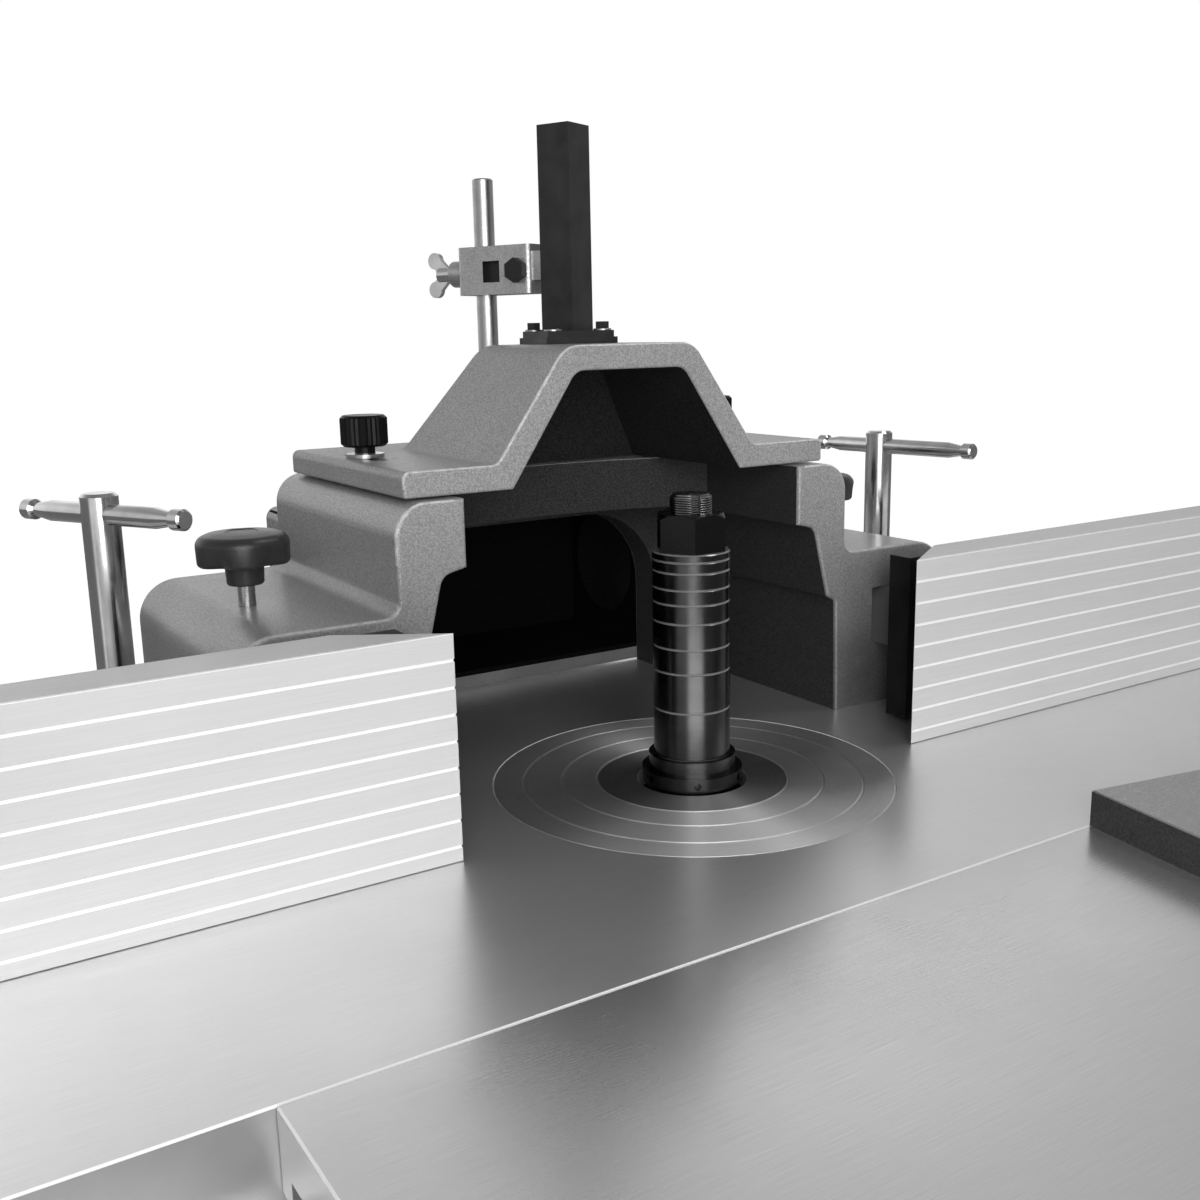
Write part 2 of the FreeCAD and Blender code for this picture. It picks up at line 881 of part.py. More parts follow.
def make_carriage():
    height = (carriage_bottom, carriage_top)
    ring_radius = housing_radius + carriage_ring_wall
    ring = upright(ring_radius, 0, 0, *height)
    web = block(-column_x, column_x, column_y - carriage_web / 2, column_y + carriage_web / 2, *height)
    neck = block(-carriage_neck_half, carriage_neck_half, column_y, -housing_radius, *height)
    boss = upright(screw_boss_radius, 0, column_y, *height)
    pieces = [web, neck, boss]
    through = (carriage_bottom - overrun, carriage_top + overrun)
    cuts = [upright(housing_radius + run_gap, 0, 0, *through),
            upright(screw_radius + screw_clear, 0, column_y, *through)]
    for side in (-1, 1):
        pieces.append(upright(sleeve_radius, side * column_x, column_y, *height))
        cuts.append(upright(column_radius + run_gap, side * column_x, column_y, *through))
    shelf = block(-motor_plate_half, motor_plate_half, 0, ring_radius + motor_plate_thick,
                  carriage_bottom, carriage_bottom + motor_plate_thick)
    pieces.append(shelf)
    return joined(ring, *pieces).cut(Part.makeCompound(cuts))


def make_housing():
    inner_top = housing_top - housing_cap
    seat = bearing_outer_radius + run_gap
    upper = inner_top - 2 * bearing_width - bearing_spacer
    lower = housing_bottom + bearing_width
    points = [
        (neck_radius + slide_gap, housing_top), (housing_radius, housing_top),
        (housing_radius, housing_bottom), (seat, housing_bottom), (seat, lower),
        (housing_relief_radius, lower), (housing_relief_radius, upper), (seat, upper), (seat, inner_top),
        (neck_radius + slide_gap, inner_top)]
    return turned(points)


def bearing(z0):
    """Shielded ball bearing, with its shields set back from the race faces."""
    z1 = z0 + bearing_width
    inner = bearing_seat_radius + run_gap
    points = []
    for z, back in ((z0, bearing_shield_depth), (z1, -bearing_shield_depth)):
        row = [(inner, z), (inner + bearing_race_wall, z), (inner + bearing_race_wall, z + back),
               (bearing_outer_radius - bearing_race_wall, z + back),
               (bearing_outer_radius - bearing_race_wall, z), (bearing_outer_radius, z)]
        points += row if z == z0 else row[::-1]
    return turned(points)


def make_bearings():
    inner_top = housing_top - housing_cap
    heights = (inner_top - bearing_width, inner_top - 2 * bearing_width - bearing_spacer, housing_bottom)
    return Part.makeCompound([bearing(z) for z in heights])


def pulley_top():
    return housing_bottom - pulley_gap


def pulley_bottom():
    return pulley_top() - 3 * pulley_step_height


def make_spindle_shaft():
    thread_start = shoulder_height + collar_stack - collar_chamfer
    seat_top = housing_top - housing_cap
    points = [
        (0, arbor_top), (thread_radius - arbor_chamfer, arbor_top),
        (thread_radius, arbor_top - arbor_chamfer), (thread_radius, thread_start),
        (arbor_radius, thread_start), (arbor_radius, shoulder_height),
        (shoulder_radius, shoulder_height), (shoulder_radius, flange_thick), (flange_radius, flange_thick),
        (flange_radius, 0), (neck_radius, 0), (neck_radius, seat_top), (bearing_seat_radius, seat_top),
        (bearing_seat_radius, housing_bottom), (pulley_bore_radius, housing_bottom),
        (pulley_bore_radius, pulley_bottom()), (0, pulley_bottom())]
    shaft = turned(points)
    keyway = block(-keyway_width / 2, keyway_width / 2, -thread_radius - overrun, keyway_depth - thread_radius,
                   thread_start + nut_height / 2, arbor_top + overrun)
    cuts = [turned_copy(keyway, keyway_angle, 0, 0)]
    for k in range(tommy_hole_count):
        angle = k * 2 * math.pi / tommy_hole_count
        way = Vector(math.cos(angle), math.sin(angle), 0)
        middle = Vector(0, 0, flange_thick / 2)
        cuts.append(bar(tommy_hole_radius, middle + way * (flange_radius - tommy_hole_depth),
                        middle + way * (flange_radius + overrun)))
    return shaft.cut(Part.makeCompound(cuts))


def make_collars():
    collars = []
    z = shoulder_height
    bore = arbor_radius + run_gap
    for share in collar_height_shares:
        top = z + share * collar_stack
        collars.append(turned([
            (bore, z), (collar_radius - collar_chamfer, z), (collar_radius, z + collar_chamfer),
            (collar_radius, top - collar_chamfer), (collar_radius - collar_chamfer, top), (bore, top)]))
        z = top
    return Part.makeCompound(collars)


def make_nut():
    low = shoulder_height + collar_stack
    prism = hexagon(nut_flats, 0, 0, low, low + nut_height)
    reach = nut_flats / 2 / math.cos(math.pi / 6)
    cone = turned([(0, low), (reach, low), (reach, low + nut_height - nut_chamfer),
                   (reach - nut_chamfer, low + nut_height), (0, low + nut_height)])
    nut = prism.common(cone)
    return nut.cut(upright(thread_radius + run_gap, 0, 0, low - overrun, low + nut_height + overrun))


def make_pulley(y, bore, low, mid, high):
    """Three-step pulley with a thin flange under each step."""
    points = [(bore, pulley_top())]
    z = pulley_top()
    for radius in (low, mid, high):
        points += [(radius, z), (radius, z - pulley_step_height + pulley_flange),
                   (radius + pulley_flange, z - pulley_step_height + pulley_flange),
                   (radius + pulley_flange, z - pulley_step_height)]
        z -= pulley_step_height
    points.append((bore, z))
    return turned(points, 0, y)


def belt_loop(small, large, z0, z1):
    """Closed loop over two wheels: both circles and the block between their tangent points."""
    lean = math.asin((large - small) / motor_y)
    side = [Vector(math.cos(lean), -math.sin(lean), 0), Vector(-math.cos(lean), -math.sin(lean), 0)]
    far = Vector(0, motor_y, 0)
    corners = [side[0] * small, far + side[0] * large, far + side[1] * large, side[1] * small]
    strip = upward([(p.x, p.y) for p in corners], z0, z1)
    return joined(strip, upright(small, 0, 0, z0, z1), upright(large, 0, motor_y, z0, z1))


def make_belt():
    step_top = pulley_top() - pulley_step_height
    slack = (pulley_step_height - pulley_flange - belt_width) / 2
    high = step_top - slack
    low = high - belt_width
    inner_small = spindle_step_mid + slide_gap
    inner_large = motor_step_mid + slide_gap
    outer = belt_loop(inner_small + belt_thick, inner_large + belt_thick, low, high)
    return outer.cut(belt_loop(inner_small, inner_large, low - overrun, high + overrun))


def motor_floor():
    """Top of the plate that the motor stands on."""
    return carriage_bottom


def make_motor_plate():
    top = motor_floor()
    reach = motor_y + motor_plate_half
    near = housing_radius + slide_gap
    plate = upward([
        (-motor_plate_half, near), (motor_plate_half, near),
        (motor_plate_half, reach, cabinet_round), (-motor_plate_half, reach, cabinet_round)],
        top - motor_plate_thick, top)
    hole = upright(motor_step_high, 0, motor_y, top - motor_plate_thick - overrun, top + overrun)
    recess = upright(housing_radius + slide_gap, 0, 0, top - motor_plate_thick - overrun, top + overrun)
    return plate.cut(Part.makeCompound([hole, recess]))


def make_motor():
    low = motor_floor()
    flange_top = low + motor_flange_thick
    flange = upward(rectangle(
        -motor_flange_half, motor_flange_half, motor_y - motor_flange_half, motor_y + motor_flange_half,
        cabinet_round), low, flange_top)
    outer = motor_radius + motor_fin_height
    pitch = 2 * math.pi / motor_fin_count
    corners = []
    for k in range(motor_fin_count):
        for radius, share in ((motor_radius, -1 + motor_fin_share), (outer, -motor_fin_share),
                              (outer, motor_fin_share), (motor_radius, 1 - motor_fin_share)):
            angle = pitch * (k + share / 2)
            corners.append((radius * math.cos(angle), motor_y + radius * math.sin(angle)))
    body = upward(corners, flange_top, low + motor_length)
    box_z = (flange_top + low + motor_length) / 2
    terminal = block(motor_radius / 2, motor_radius + terminal_depth, motor_y - terminal_width / 2,
                     motor_y + terminal_width / 2, box_z - terminal_height / 2, box_z + terminal_height / 2)
    motor = joined(flange, body, terminal)
    return motor.cut(upright(
        motor_shaft_radius + run_gap, 0, motor_y, low - overrun, low + motor_bearing_depth))


def make_fan_cover():
    low = motor_floor() + motor_length
    high = low + fan_cover_length
    outer = motor_radius + motor_fin_height
    cover = turned([
        (0, high), (outer - fan_cover_length / 4, high), (outer, high - fan_cover_length / 4), (outer, low),
        (outer - fan_cover_wall, low), (outer - fan_cover_wall, high - fan_cover_length / 4 - fan_cover_wall),
        (outer - fan_cover_length / 4 - fan_cover_wall, high - fan_cover_wall), (0, high - fan_cover_wall)],
        0, motor_y)
    cuts = []
    for k in range(fan_slot_count):
        slot = block(motor_radius / 4, motor_radius - fan_slot_width, motor_y - fan_slot_width / 2,
                     motor_y + fan_slot_width / 2, high - fan_cover_wall - overrun, high + overrun)
        cuts.append(turned_copy(slot, k * full_turn / fan_slot_count, 0, motor_y))
    return cover.cut(Part.makeCompound(cuts))


def make_lead_nut():
    flange = upright(nut_flange_radius, 0, column_y, carriage_bottom - nut_flange_thick, carriage_bottom)
    body = upright(nut_radius, 0, column_y, carriage_bottom - lead_nut_length, carriage_bottom)
    hole = upright(screw_radius + run_gap, 0, column_y, carriage_bottom - lead_nut_length - overrun,
                   carriage_bottom + overrun)
    return joined(flange, body).cut(hole)


def hood_outline():
    right = [(wing_end, 0), (wing_end, shelf_height, wing_round), (pillar_outer, shelf_height, shelf_fillet),
             (pillar_outer, pillar_top, pillar_round)]
    return both_sides(right)


def both_sides(right):
    """Outline from its right half, shifted along with the casting, which is not quite central."""
    left = [(-corner[0],) + corner[1:] for corner in right[::-1]]
    return [(corner[0] + casting_shift,) + corner[1:] for corner in right + left]


def throat_outline():
    return both_sides([
        (throat_foot, -overrun), (throat_ledge_outer, throat_ledge_low, throat_round / 3),
        (throat_ledge_inner, throat_ledge_high, throat_round / 3),
        (throat_step, throat_step_low, throat_round), (pillar_inner, throat_step_high),
        (pillar_inner, band_low)])


def band_opening():
    """Mouth of the hood at its top, with a back edge that curves in plan."""
    front = hood_front - overrun
    low, high = band_low - overrun, pillar_top + overrun
    left, right = casting_shift - pillar_inner, casting_shift + pillar_inner
    a, b = Vector(left, front, low), Vector(right, front, low)
    c, d = Vector(right, band_side_y, low), Vector(left, band_side_y, low)
    middle = Vector(casting_shift, band_centre_y, low)
    edges = [Part.LineSegment(a, b).toShape(), Part.LineSegment(b, c).toShape(),
             Part.Arc(c, middle, d).toShape(), Part.LineSegment(d, a).toShape()]
    return Part.Face(Part.Wire(edges)).extrude(Vector(0, 0, high - low))


def make_hood():
    hood = across(hood_outline(), hood_front, hood_back)
    hood = hood.cut(across(throat_outline(), hood_front - overrun, hood_back - hood_wall))
    hood = hood.cut(band_opening()).removeSplitter()
    rims = edges_where(hood, lambda b: flat_in_y(b, hood_front) and b.ZMax > overrun)
    hood = hood.makeFillet(hood_edge_round, rims)
    arch = [(arch_half, -overrun), (arch_half, arch_top, arch_round),
            (-arch_half, arch_top, arch_round), (-arch_half, -overrun)]
    cuts = [across(arch, hood_back - hood_wall - overrun, hood_back + overrun)]
    added = []
    for side in (-1, 1):
        pocket = block(nose_inner - slide_gap, nose_outer + slide_gap, hood_front - overrun,
                       nose_back + nose_room, nose_bottom, nose_top + slide_gap)
        cavity = block(pillar_outer + wing_wall, wing_end - wing_wall, hood_front + wing_wall,
                       hood_back - wing_wall, -overrun, wing_cavity_top)
        stem = upright(star_stem_radius + slide_gap, star_x, star_y, nose_top, shelf_height + overrun)
        stud = upright(cover_stud_radius + run_gap, cover_knob_x, cover_knob_y,
                       pillar_top - cover_stud_depth - overrun, cover_floor() + overrun)
        strip = block(seat_inner, seat_outer, hood_front + seat_inset, hood_back - seat_inset,
                      pillar_top, cover_floor())
        lug = upward([(wing_end - wing_wall, lug_front), (lug_end, lug_front, lug_round),
                      (lug_end, lug_back, lug_round), (wing_end - wing_wall, lug_back)], 0, lug_thick)
        slot_half = clamp_screw_radius + clamp_slot_gap
        slot = upward(rectangle(
            clamp_x - slot_half, clamp_x + slot_half, clamp_y - clamp_slot_half, clamp_y + clamp_slot_half,
            slot_half - run_gap), -overrun, lug_thick + overrun)
        lug = lug.cut(slot)
        for piece in (pocket, cavity, stem, stud):
            cuts.append(piece if side > 0 else flipped(piece))
        for piece in (lug, strip.cut(stud)):
            added.append(piece if side > 0 else flipped(piece))
    hood = hood.cut(Part.makeCompound(cuts))
    return joined(hood, *added)


def make_chute():
    outer = across(rectangle(-chute_half, chute_half, chute_bottom, chute_top, chute_round),
                   hood_back, chute_back)
    inner = across(rectangle(
        chute_wall - chute_half, chute_half - chute_wall, chute_bottom + chute_wall, chute_top - chute_wall,
        chute_round - chute_wall), hood_back - overrun, chute_back - chute_wall)
    y = (hood_back + chute_back) / 2
    z = (chute_bottom + chute_top) / 2
    start, end = Vector(chute_half - chute_wall, y, z), Vector(chute_half + spigot_length, y, z)
    spigot = bar(spigot_radius, start, end)
    bore = bar(spigot_radius - chute_wall, start - Vector(overrun, 0, 0), end + Vector(overrun, 0, 0))
    return joined(outer.cut(inner), spigot).cut(bore)


def make_clamp_post():
    top = clamp_post_top
    low = lug_thick + slide_gap
    screw_end = -table_thick
    post = turned([
        (0, top), (clamp_post_radius - clamp_post_crown, top), (clamp_post_radius, top - clamp_post_crown),
        (clamp_post_radius, low + clamp_washer_thick), (clamp_washer_radius, low + clamp_washer_thick),
        (clamp_washer_radius, low), (clamp_screw_radius, low), (clamp_screw_radius, screw_end),
        (0, screw_end)], clamp_x, clamp_y)
    middle = Vector(clamp_x, clamp_y, clamp_bar_height)
    reach = Vector(clamp_post_radius + overrun, 0, 0)
    return post.cut(bar(clamp_bar_radius + run_gap, middle - reach, middle + reach))


def make_clamp_bar(shift):
    """Sliding bar of a T-handle, with a groove near each rounded end, shifted along its hole."""
    half = [
        (0, clamp_bar_half), (clamp_bar_radius - clamp_groove_depth, clamp_bar_half),
        (clamp_bar_radius, clamp_bar_half - clamp_groove_depth * 2),
        (clamp_bar_radius, clamp_bar_half - clamp_groove_inset),
        (clamp_bar_radius - clamp_groove_depth, clamp_bar_half - clamp_groove_inset),
        (clamp_bar_radius - clamp_groove_depth, clamp_bar_half - clamp_groove_inset - clamp_groove_width),
        (clamp_bar_radius, clamp_bar_half - clamp_groove_inset - clamp_groove_width)]
    points = half + [(r, -z) for r, z in half[::-1]]
    shape = turned(points)
    shape.rotate(Vector(0, 0, 0), Vector(0, 1, 0), full_turn / 4)
    shape.translate(Vector(clamp_x + shift, clamp_y, clamp_bar_height))
    return shape


def make_star_knob():
    wheel = turned([
        (0, star_top), (star_radius * 2 / 3, star_top),
        (star_radius - star_crown / 4, star_top - star_crown / 2), (star_radius, star_top - star_crown),
        (star_radius, star_bottom + star_crown),
        (star_radius - star_crown, star_bottom), (0, star_bottom)], star_x, star_y)
    cuts = []
    bite = star_radius / 2
    for k in range(star_lobes):
        angle = math.radians(star_angle + k * full_turn / star_lobes)
        reach = star_radius + bite - star_lobe_depth
        cuts.append(upright(bite, star_x + reach * math.cos(angle), star_y + reach * math.sin(angle),
                            star_bottom - overrun, star_top + overrun))
    wheel = wheel.cut(Part.makeCompound(cuts))
    hub = upright(star_hub_radius, star_x, star_y, star_hub_bottom, star_bottom)
    stem = upright(star_stem_radius, star_x, star_y, nose_top + slide_gap, star_hub_bottom)
    return joined(wheel, hub, stem)


def slot_heights():
    return (slot_low, slot_high)


def bolt_places():
    return [(x, z) for x in (fence_bolt_first, fence_bolt_second) for z in slot_heights()]


def make_carrier():
    plate = block(carrier_inner, carrier_outer, 0, carrier_thick, carrier_bottom, carrier_top)
    nose = across([
        (nose_inner, nose_bottom), (nose_outer, nose_bottom), (nose_outer, nose_top, nose_round),
        (nose_inner, nose_top, nose_round)], carrier_thick, nose_back)
    cuts = [bar(fence_bolt_radius + run_gap, Vector(x, -overrun, z), Vector(x, carrier_thick + overrun, z))
            for x, z in bolt_places()]
    return joined(plate, nose).cut(Part.makeCompound(cuts))


def make_fence_bolts():
    """T-head bolts in the fence slots, with their nuts behind the carrier."""
    bolts = []
    head_back = -slot_lip - slide_gap
    for x, z in bolt_places():
        head = block(x - fence_bolt_head, x + fence_bolt_head, head_back - fence_bolt_head, head_back,
                     z - slot_head / 2 + slide_gap, z + slot_head / 2 - slide_gap)
        end = carrier_thick + fence_nut_thick * 2
        shank = bar(fence_bolt_radius, Vector(x, head_back, z), Vector(x, end, z))
        nut = bar(fence_nut_radius, Vector(x, carrier_thick, z),
                  Vector(x, carrier_thick + fence_nut_thick, z))
        bolts.append(joined(head, shank, nut))
    return Part.makeCompound(bolts)


def make_fence_plate(nose):
    """Hollow aluminium fence with grooves in its face, two T-slots at its back and a mitred end."""
    front = -fence_thick
    low, high = fence_lift, fence_height
    points = [(0, low), (front, low)]
    for k in range(groove_count):
        z = groove_first + k * groove_pitch
        points += [(front, z - groove_width / 2), (front + groove_depth, z - groove_width / 2),
                   (front + groove_depth, z + groove_width / 2), (front, z + groove_width / 2)]
    points += [(front, high), (0, high)]
    for z in slot_heights()[::-1]:
        deep = -slot_lip - slot_head_depth
        points += [(0, z + slot_mouth / 2), (-slot_lip, z + slot_mouth / 2), (-slot_lip, z + slot_head / 2),
                   (deep, z + slot_head / 2), (deep, z - slot_head / 2), (-slot_lip, z - slot_head / 2),
                   (-slot_lip, z - slot_mouth / 2), (0, z - slot_mouth / 2)]
    plate = along(points, nose, nose + fence_length)
    edges = [low] + [z + way * (slot_head / 2) for z in slot_heights() for way in (-1, 1)] + [high]
    cuts = []
    for k in range(0, len(edges), 2):
        bottom = edges[k] + (fence_wall if k == 0 else fence_web)
        top = edges[k + 1] - (fence_wall if k + 2 == len(edges) else fence_web)
        cuts.append(block(nose - overrun, nose + fence_length + overrun, front + fence_wall + groove_depth,
                          -fence_wall, bottom, top))
    for z in slot_heights():
        cuts.append(block(nose - overrun, nose + fence_length + overrun, front + fence_wall + groove_depth,
                          -slot_lip - slot_head_depth - fence_web, z - slot_head / 2, z + slot_head / 2))
    slope = fence_mitre / fence_thick
    cuts.append(upward([
        (nose - overrun * slope, front - overrun), (nose + fence_mitre + overrun * slope, overrun),
        (nose - fence_mitre, overrun), (nose - fence_mitre, front - overrun)], low - overrun, high + overrun))
    return plate.cut(Part.makeCompound(cuts))


def cover_floor():
    """Underside of the cover, which rests on two low strips along the hood's top."""
    return pillar_top + seat_rise


def cover_outline(hollow):
    """Front outline of the cover: a flanged hat section, or the same shape filled in."""
    low = cover_floor()
    outer = [(cover_half, low + cover_thick, cover_corner_round),
             (cover_bend_outer, low + cover_thick, cover_bend_round),
             (cover_crown_outer, cover_top_height, cover_crown_round)]
    inner = [(cover_half, low)]
    if hollow:
        inner = [(cover_crown_inner, cover_top_height - cover_thick, cover_hollow_round),
                 (cover_bend_inner, low, cover_edge_round), (cover_half, low, cover_edge_round)]
    return outer + [(-c[0],) + c[1:] for c in (inner + outer)[::-1]] + inner


def make_cover():
    low = cover_floor()
    flange_top = low + cover_thick
    high = cover_top_height + overrun
    reach = cover_bend_outer + cover_bend_round
    lean = (cover_foot_back - cover_crown_back) / (cover_top_height - flange_top)
    crown = cover_crown_back - lean * overrun
    hat = across(cover_outline(True), cover_front, cover_back)
    hat = hat.makeFillet(cover_edge_round, edges_where(hat, lambda b: flat_in_y(b, cover_front)))
    behind = along([(cover_foot_back, flange_top), (crown, high), (cover_back + overrun, high),
                    (cover_back + overrun, flange_top)], -reach, reach)
    foot = cover_foot_back + lean * cover_thick - cover_back_wall
    wall = across(cover_outline(False), cover_front, cover_back).common(along(
        [(foot, low), (crown - cover_back_wall, high), (cover_back, high), (cover_back, low)], -reach, reach))
    cover = joined(hat.cut(behind), wall.cut(behind))
    half = cover_stud_radius + slide_gap
    cuts = []
    for side in (-1, 1):
        cuts.append(upward(rectangle(
            side * cover_knob_x - half, side * cover_knob_x + half, cover_knob_y - cover_slide - half,
            cover_knob_y + cover_slide + half, half - run_gap), low - overrun, flange_top + overrun))
        cuts.append(upright(cover_dowel_radius, side * cover_dowel_x, cover_dowel_y,
                            flange_top - cover_dowel_depth, flange_top + overrun))
    for x, y in post_bolt_places():
        cuts.append(upright(post_bolt_radius + run_gap, x, y, cover_top_height - cover_thick - overrun, high))
    return cover.cut(Part.makeCompound(cuts))


def make_cover_knob():
    seat = cover_floor() + cover_thick + slide_gap
    neck_top = seat + cover_washer_thick + cover_neck_length
    washer = upright(cover_washer_radius, cover_knob_x, cover_knob_y, seat, seat + cover_washer_thick)
    neck = upright(cover_neck_radius, cover_knob_x, cover_knob_y, seat, neck_top)
    stud = upright(cover_stud_radius, cover_knob_x, cover_knob_y, pillar_top - cover_stud_depth, seat)
    corners = []
    for k in range(cover_knob_flutes * 2):
        angle = math.pi * k / cover_knob_flutes
        radius = cover_knob_radius - (cover_knob_flute_depth if k % 2 else 0)
        corners.append((cover_knob_x + radius * math.cos(angle), cover_knob_y + radius * math.sin(angle)))
    head = upward(corners, neck_top, neck_top + cover_knob_height)
    trim = turned([(0, neck_top), (cover_knob_radius - cover_edge_round, neck_top),
                   (cover_knob_radius, neck_top + cover_edge_round),
                   (cover_knob_radius, neck_top + cover_knob_height - cover_edge_round),
                   (cover_knob_radius - cover_edge_round, neck_top + cover_knob_height),
                   (0, neck_top + cover_knob_height)], cover_knob_x, cover_knob_y)
    return joined(head.common(trim), washer, neck, stud)


def post_bolt_places():
    """Bolt centres at the corners of the post's flange."""
    turn = math.radians(post_flange_angle)
    places = []
    for x in (-1, 1):
        for y in (-1, 1):
            places.append((post_bolt_place * (x * math.cos(turn) - y * math.sin(turn)),
                           post_y + post_bolt_place * (x * math.sin(turn) + y * math.cos(turn))))
    return places


def post_prism(half, z0, z1, angle):
    """Square prism on the post's axis, turned by an angle."""
    prism = block(-half, half, post_y - half, post_y + half, z0, z1)
    return turned_copy(prism, angle, 0, post_y)


def make_post():
    low = cover_top_height
    pad_low, pad_top = low + post_flange_thick, low + post_flange_thick * 2
    foot = post_prism(post_flange_half, low, pad_low, post_flange_angle)
    pad = post_prism(post_flange_half * post_upper_share, pad_low, pad_top, post_flange_angle)
    tube = post_prism(post_half, pad_low, post_top, post_angle)
    tube = tube.cut(post_prism(post_half - post_wall, pad_top, post_top + overrun, post_angle))
    half = clamp_stud_radius + slide_gap
    slot = across(rectangle(-half, half, post_slot_bottom, post_slot_top, half - run_gap),
                  0, post_half + overrun)
    tube = tube.cut(beside_post(slot))
    holes = [upright(post_bolt_radius + run_gap, x, y, low - overrun, low + post_flange_thick * 2 + overrun)
             for x, y in post_bolt_places()]
    return joined(foot, pad, tube).cut(Part.makeCompound(holes))


def make_post_bolts():
    seat = cover_top_height + post_flange_thick * 2
    bolts = []
    for x, y in post_bolt_places():
        head = hexagon(post_bolt_head_flats, x, y, seat, seat + post_bolt_head)
        shank = upright(post_bolt_radius, x, y, cover_top_height - post_bolt_depth, seat)
        bolts.append(joined(head, shank))
    return Part.makeCompound(bolts)


def make_holddown_clamp():
    """Cast clamp: a head that grips the rod, and a short arm held to the post by a stud in its slot."""
    z = wing_bolt_height
    head = upward(rectangle(-clamp_half, clamp_half, clamp_near, clamp_far, clamp_round),
                  clamp_bottom, clamp_top)
    arm = block(-arm_half, arm_half, post_half, clamp_near + clamp_round, arm_bottom, arm_top)
    inside = post_half - post_wall - slide_gap
    stud = bar(clamp_stud_radius, Vector(0, inside, z), Vector(0, clamp_near, z))
    stud_head = block(-clamp_stud_head, clamp_stud_head, inside - clamp_stud_head_thick, inside,
                      z - clamp_stud_head, z + clamp_stud_head)
    boss = bar(clamp_boss_radius, Vector(0, clamp_far - clamp_round, z),
               Vector(0, clamp_far + clamp_boss_length, z))
    bolt = hexagon(arm_bolt_flats, 0, 0, 0, arm_bolt_head)
    bolt.rotate(Vector(0, 0, 0), Vector(0, 1, 0), -full_turn / 4)
    bolt.translate(Vector(-clamp_half, arm_bolt_reach, z))
    body = joined(head, arm, stud, stud_head, boss, bolt)
    half = clamp_window / 2
    cuts = [upright(rod_radius + run_gap, 0, rod_reach, clamp_bottom - overrun, clamp_top + overrun),
            bar(wing_bolt_radius + run_gap, Vector(0, rod_reach, z),
                Vector(0, clamp_far + clamp_boss_length + overrun, z)),
            block(-clamp_half - overrun, clamp_window_depth - clamp_half, clamp_window_reach - half,
                  clamp_window_reach + half, z - half, z + half)]
    return beside_post(body.cut(Part.makeCompound(cuts)))


def beside_post(shape):
    """Carry a shape modelled about the post's own axes to its place on the turned post."""
    shape.translate(Vector(0, post_y, 0))
    return turned_copy(shape, post_angle, 0, post_y)


def make_rod():
    return beside_post(turned([
        (0, rod_top), (rod_radius - rod_chamfer, rod_top), (rod_radius, rod_top - rod_chamfer),
        (rod_radius, rod_bottom + rod_chamfer), (rod_radius - rod_chamfer, rod_bottom), (0, rod_bottom)],
        0, rod_reach))


def make_wing_bolt():
    """Thumb screw with two leaf-shaped wings, screwed into the end of the clamp's head."""
    face = Vector(0, clamp_far + clamp_boss_length + slide_gap, wing_bolt_height)
    tip = Vector(0, rod_reach + rod_radius + slide_gap, wing_bolt_height)
    shank = bar(wing_bolt_radius, tip, face)
    hub = bar(wing_hub_radius, face, face + Vector(0, wing_hub_length, 0))
    leaf = Vector(wing_leaf, 0, 0)
    pieces = [hub]
    for side in (-1, 1):
        start = face + Vector(0, wing_hub_length / 2, 0)
        end = face + Vector(0, wing_reach, side * wing_span)
        way = end - start
        wide = Vector(0, -way.z, way.y)
        wide.normalize()
        wide = wide * (wing_lobe_radius * 3 / 4)
        corners = [start - wide, end - wide, end + wide, start + wide, start - wide]
        pieces.append(Part.Face(Part.makePolygon([p - leaf / 2 for p in corners])).extrude(leaf))
        pieces.append(bar(wing_lobe_radius, end - leaf / 2, end + leaf / 2))
    return beside_post(joined(shank, *pieces))


def sliding_back():
    return table_front - sliding_gap


def sliding_front():
    return sliding_back() - sliding_width


def rod_rows():
    return (sliding_back() - sliding_width * rod_back_share, sliding_back() - sliding_width * rod_front_share)


def make_sliding_table():
    top = sliding_proud
    under = top - sliding_thick
    plate = block(-sliding_half, sliding_half, sliding_front(), sliding_back(), under, top)
    upper = edges_where(plate, lambda b: abs(b.ZMin - top) < run_gap)
    plate = plate.makeChamfer(table_edge_chamfer, upper)
    ribs = [block(-sliding_half, sliding_half, y, y + sliding_rib_wall, under - sliding_rib_depth, under)
            for y in (sliding_front(), sliding_back() - sliding_rib_wall)]
    table = joined(plate, *ribs)
    x, y = mitre_pivot()
    hole = upright(mitre_pivot_radius + run_gap, x, y, under - overrun, top + overrun)
    return table.cut(hole)


def make_bearing_blocks():
    """Open bearing blocks that hold the sliding table on its rods."""
    blocks = []
    top = sliding_proud - sliding_thick
    half = guide_rod_radius + block_wall
    mouth = guide_rod_radius * block_open_angle_share
    for y in rod_rows():
        for side in (-1, 1):
            x = side * block_x
            body = block(x - block_half_length, x + block_half_length, y - half, y + half,
                         guide_rod_z - guide_rod_radius / 2, top)
            hole = bar(guide_rod_radius + run_gap, Vector(x - block_half_length - overrun, y, guide_rod_z),
                       Vector(x + block_half_length + overrun, y, guide_rod_z))
            gap = block(x - block_half_length - overrun, x + block_half_length + overrun,
                        y - mouth, y + mouth, guide_rod_z - guide_rod_radius * 2, guide_rod_z)
            blocks.append(body.cut(Part.makeCompound([hole, gap])))
    return Part.makeCompound(blocks)


def rail_end():
    return table_half_length - rail_inset


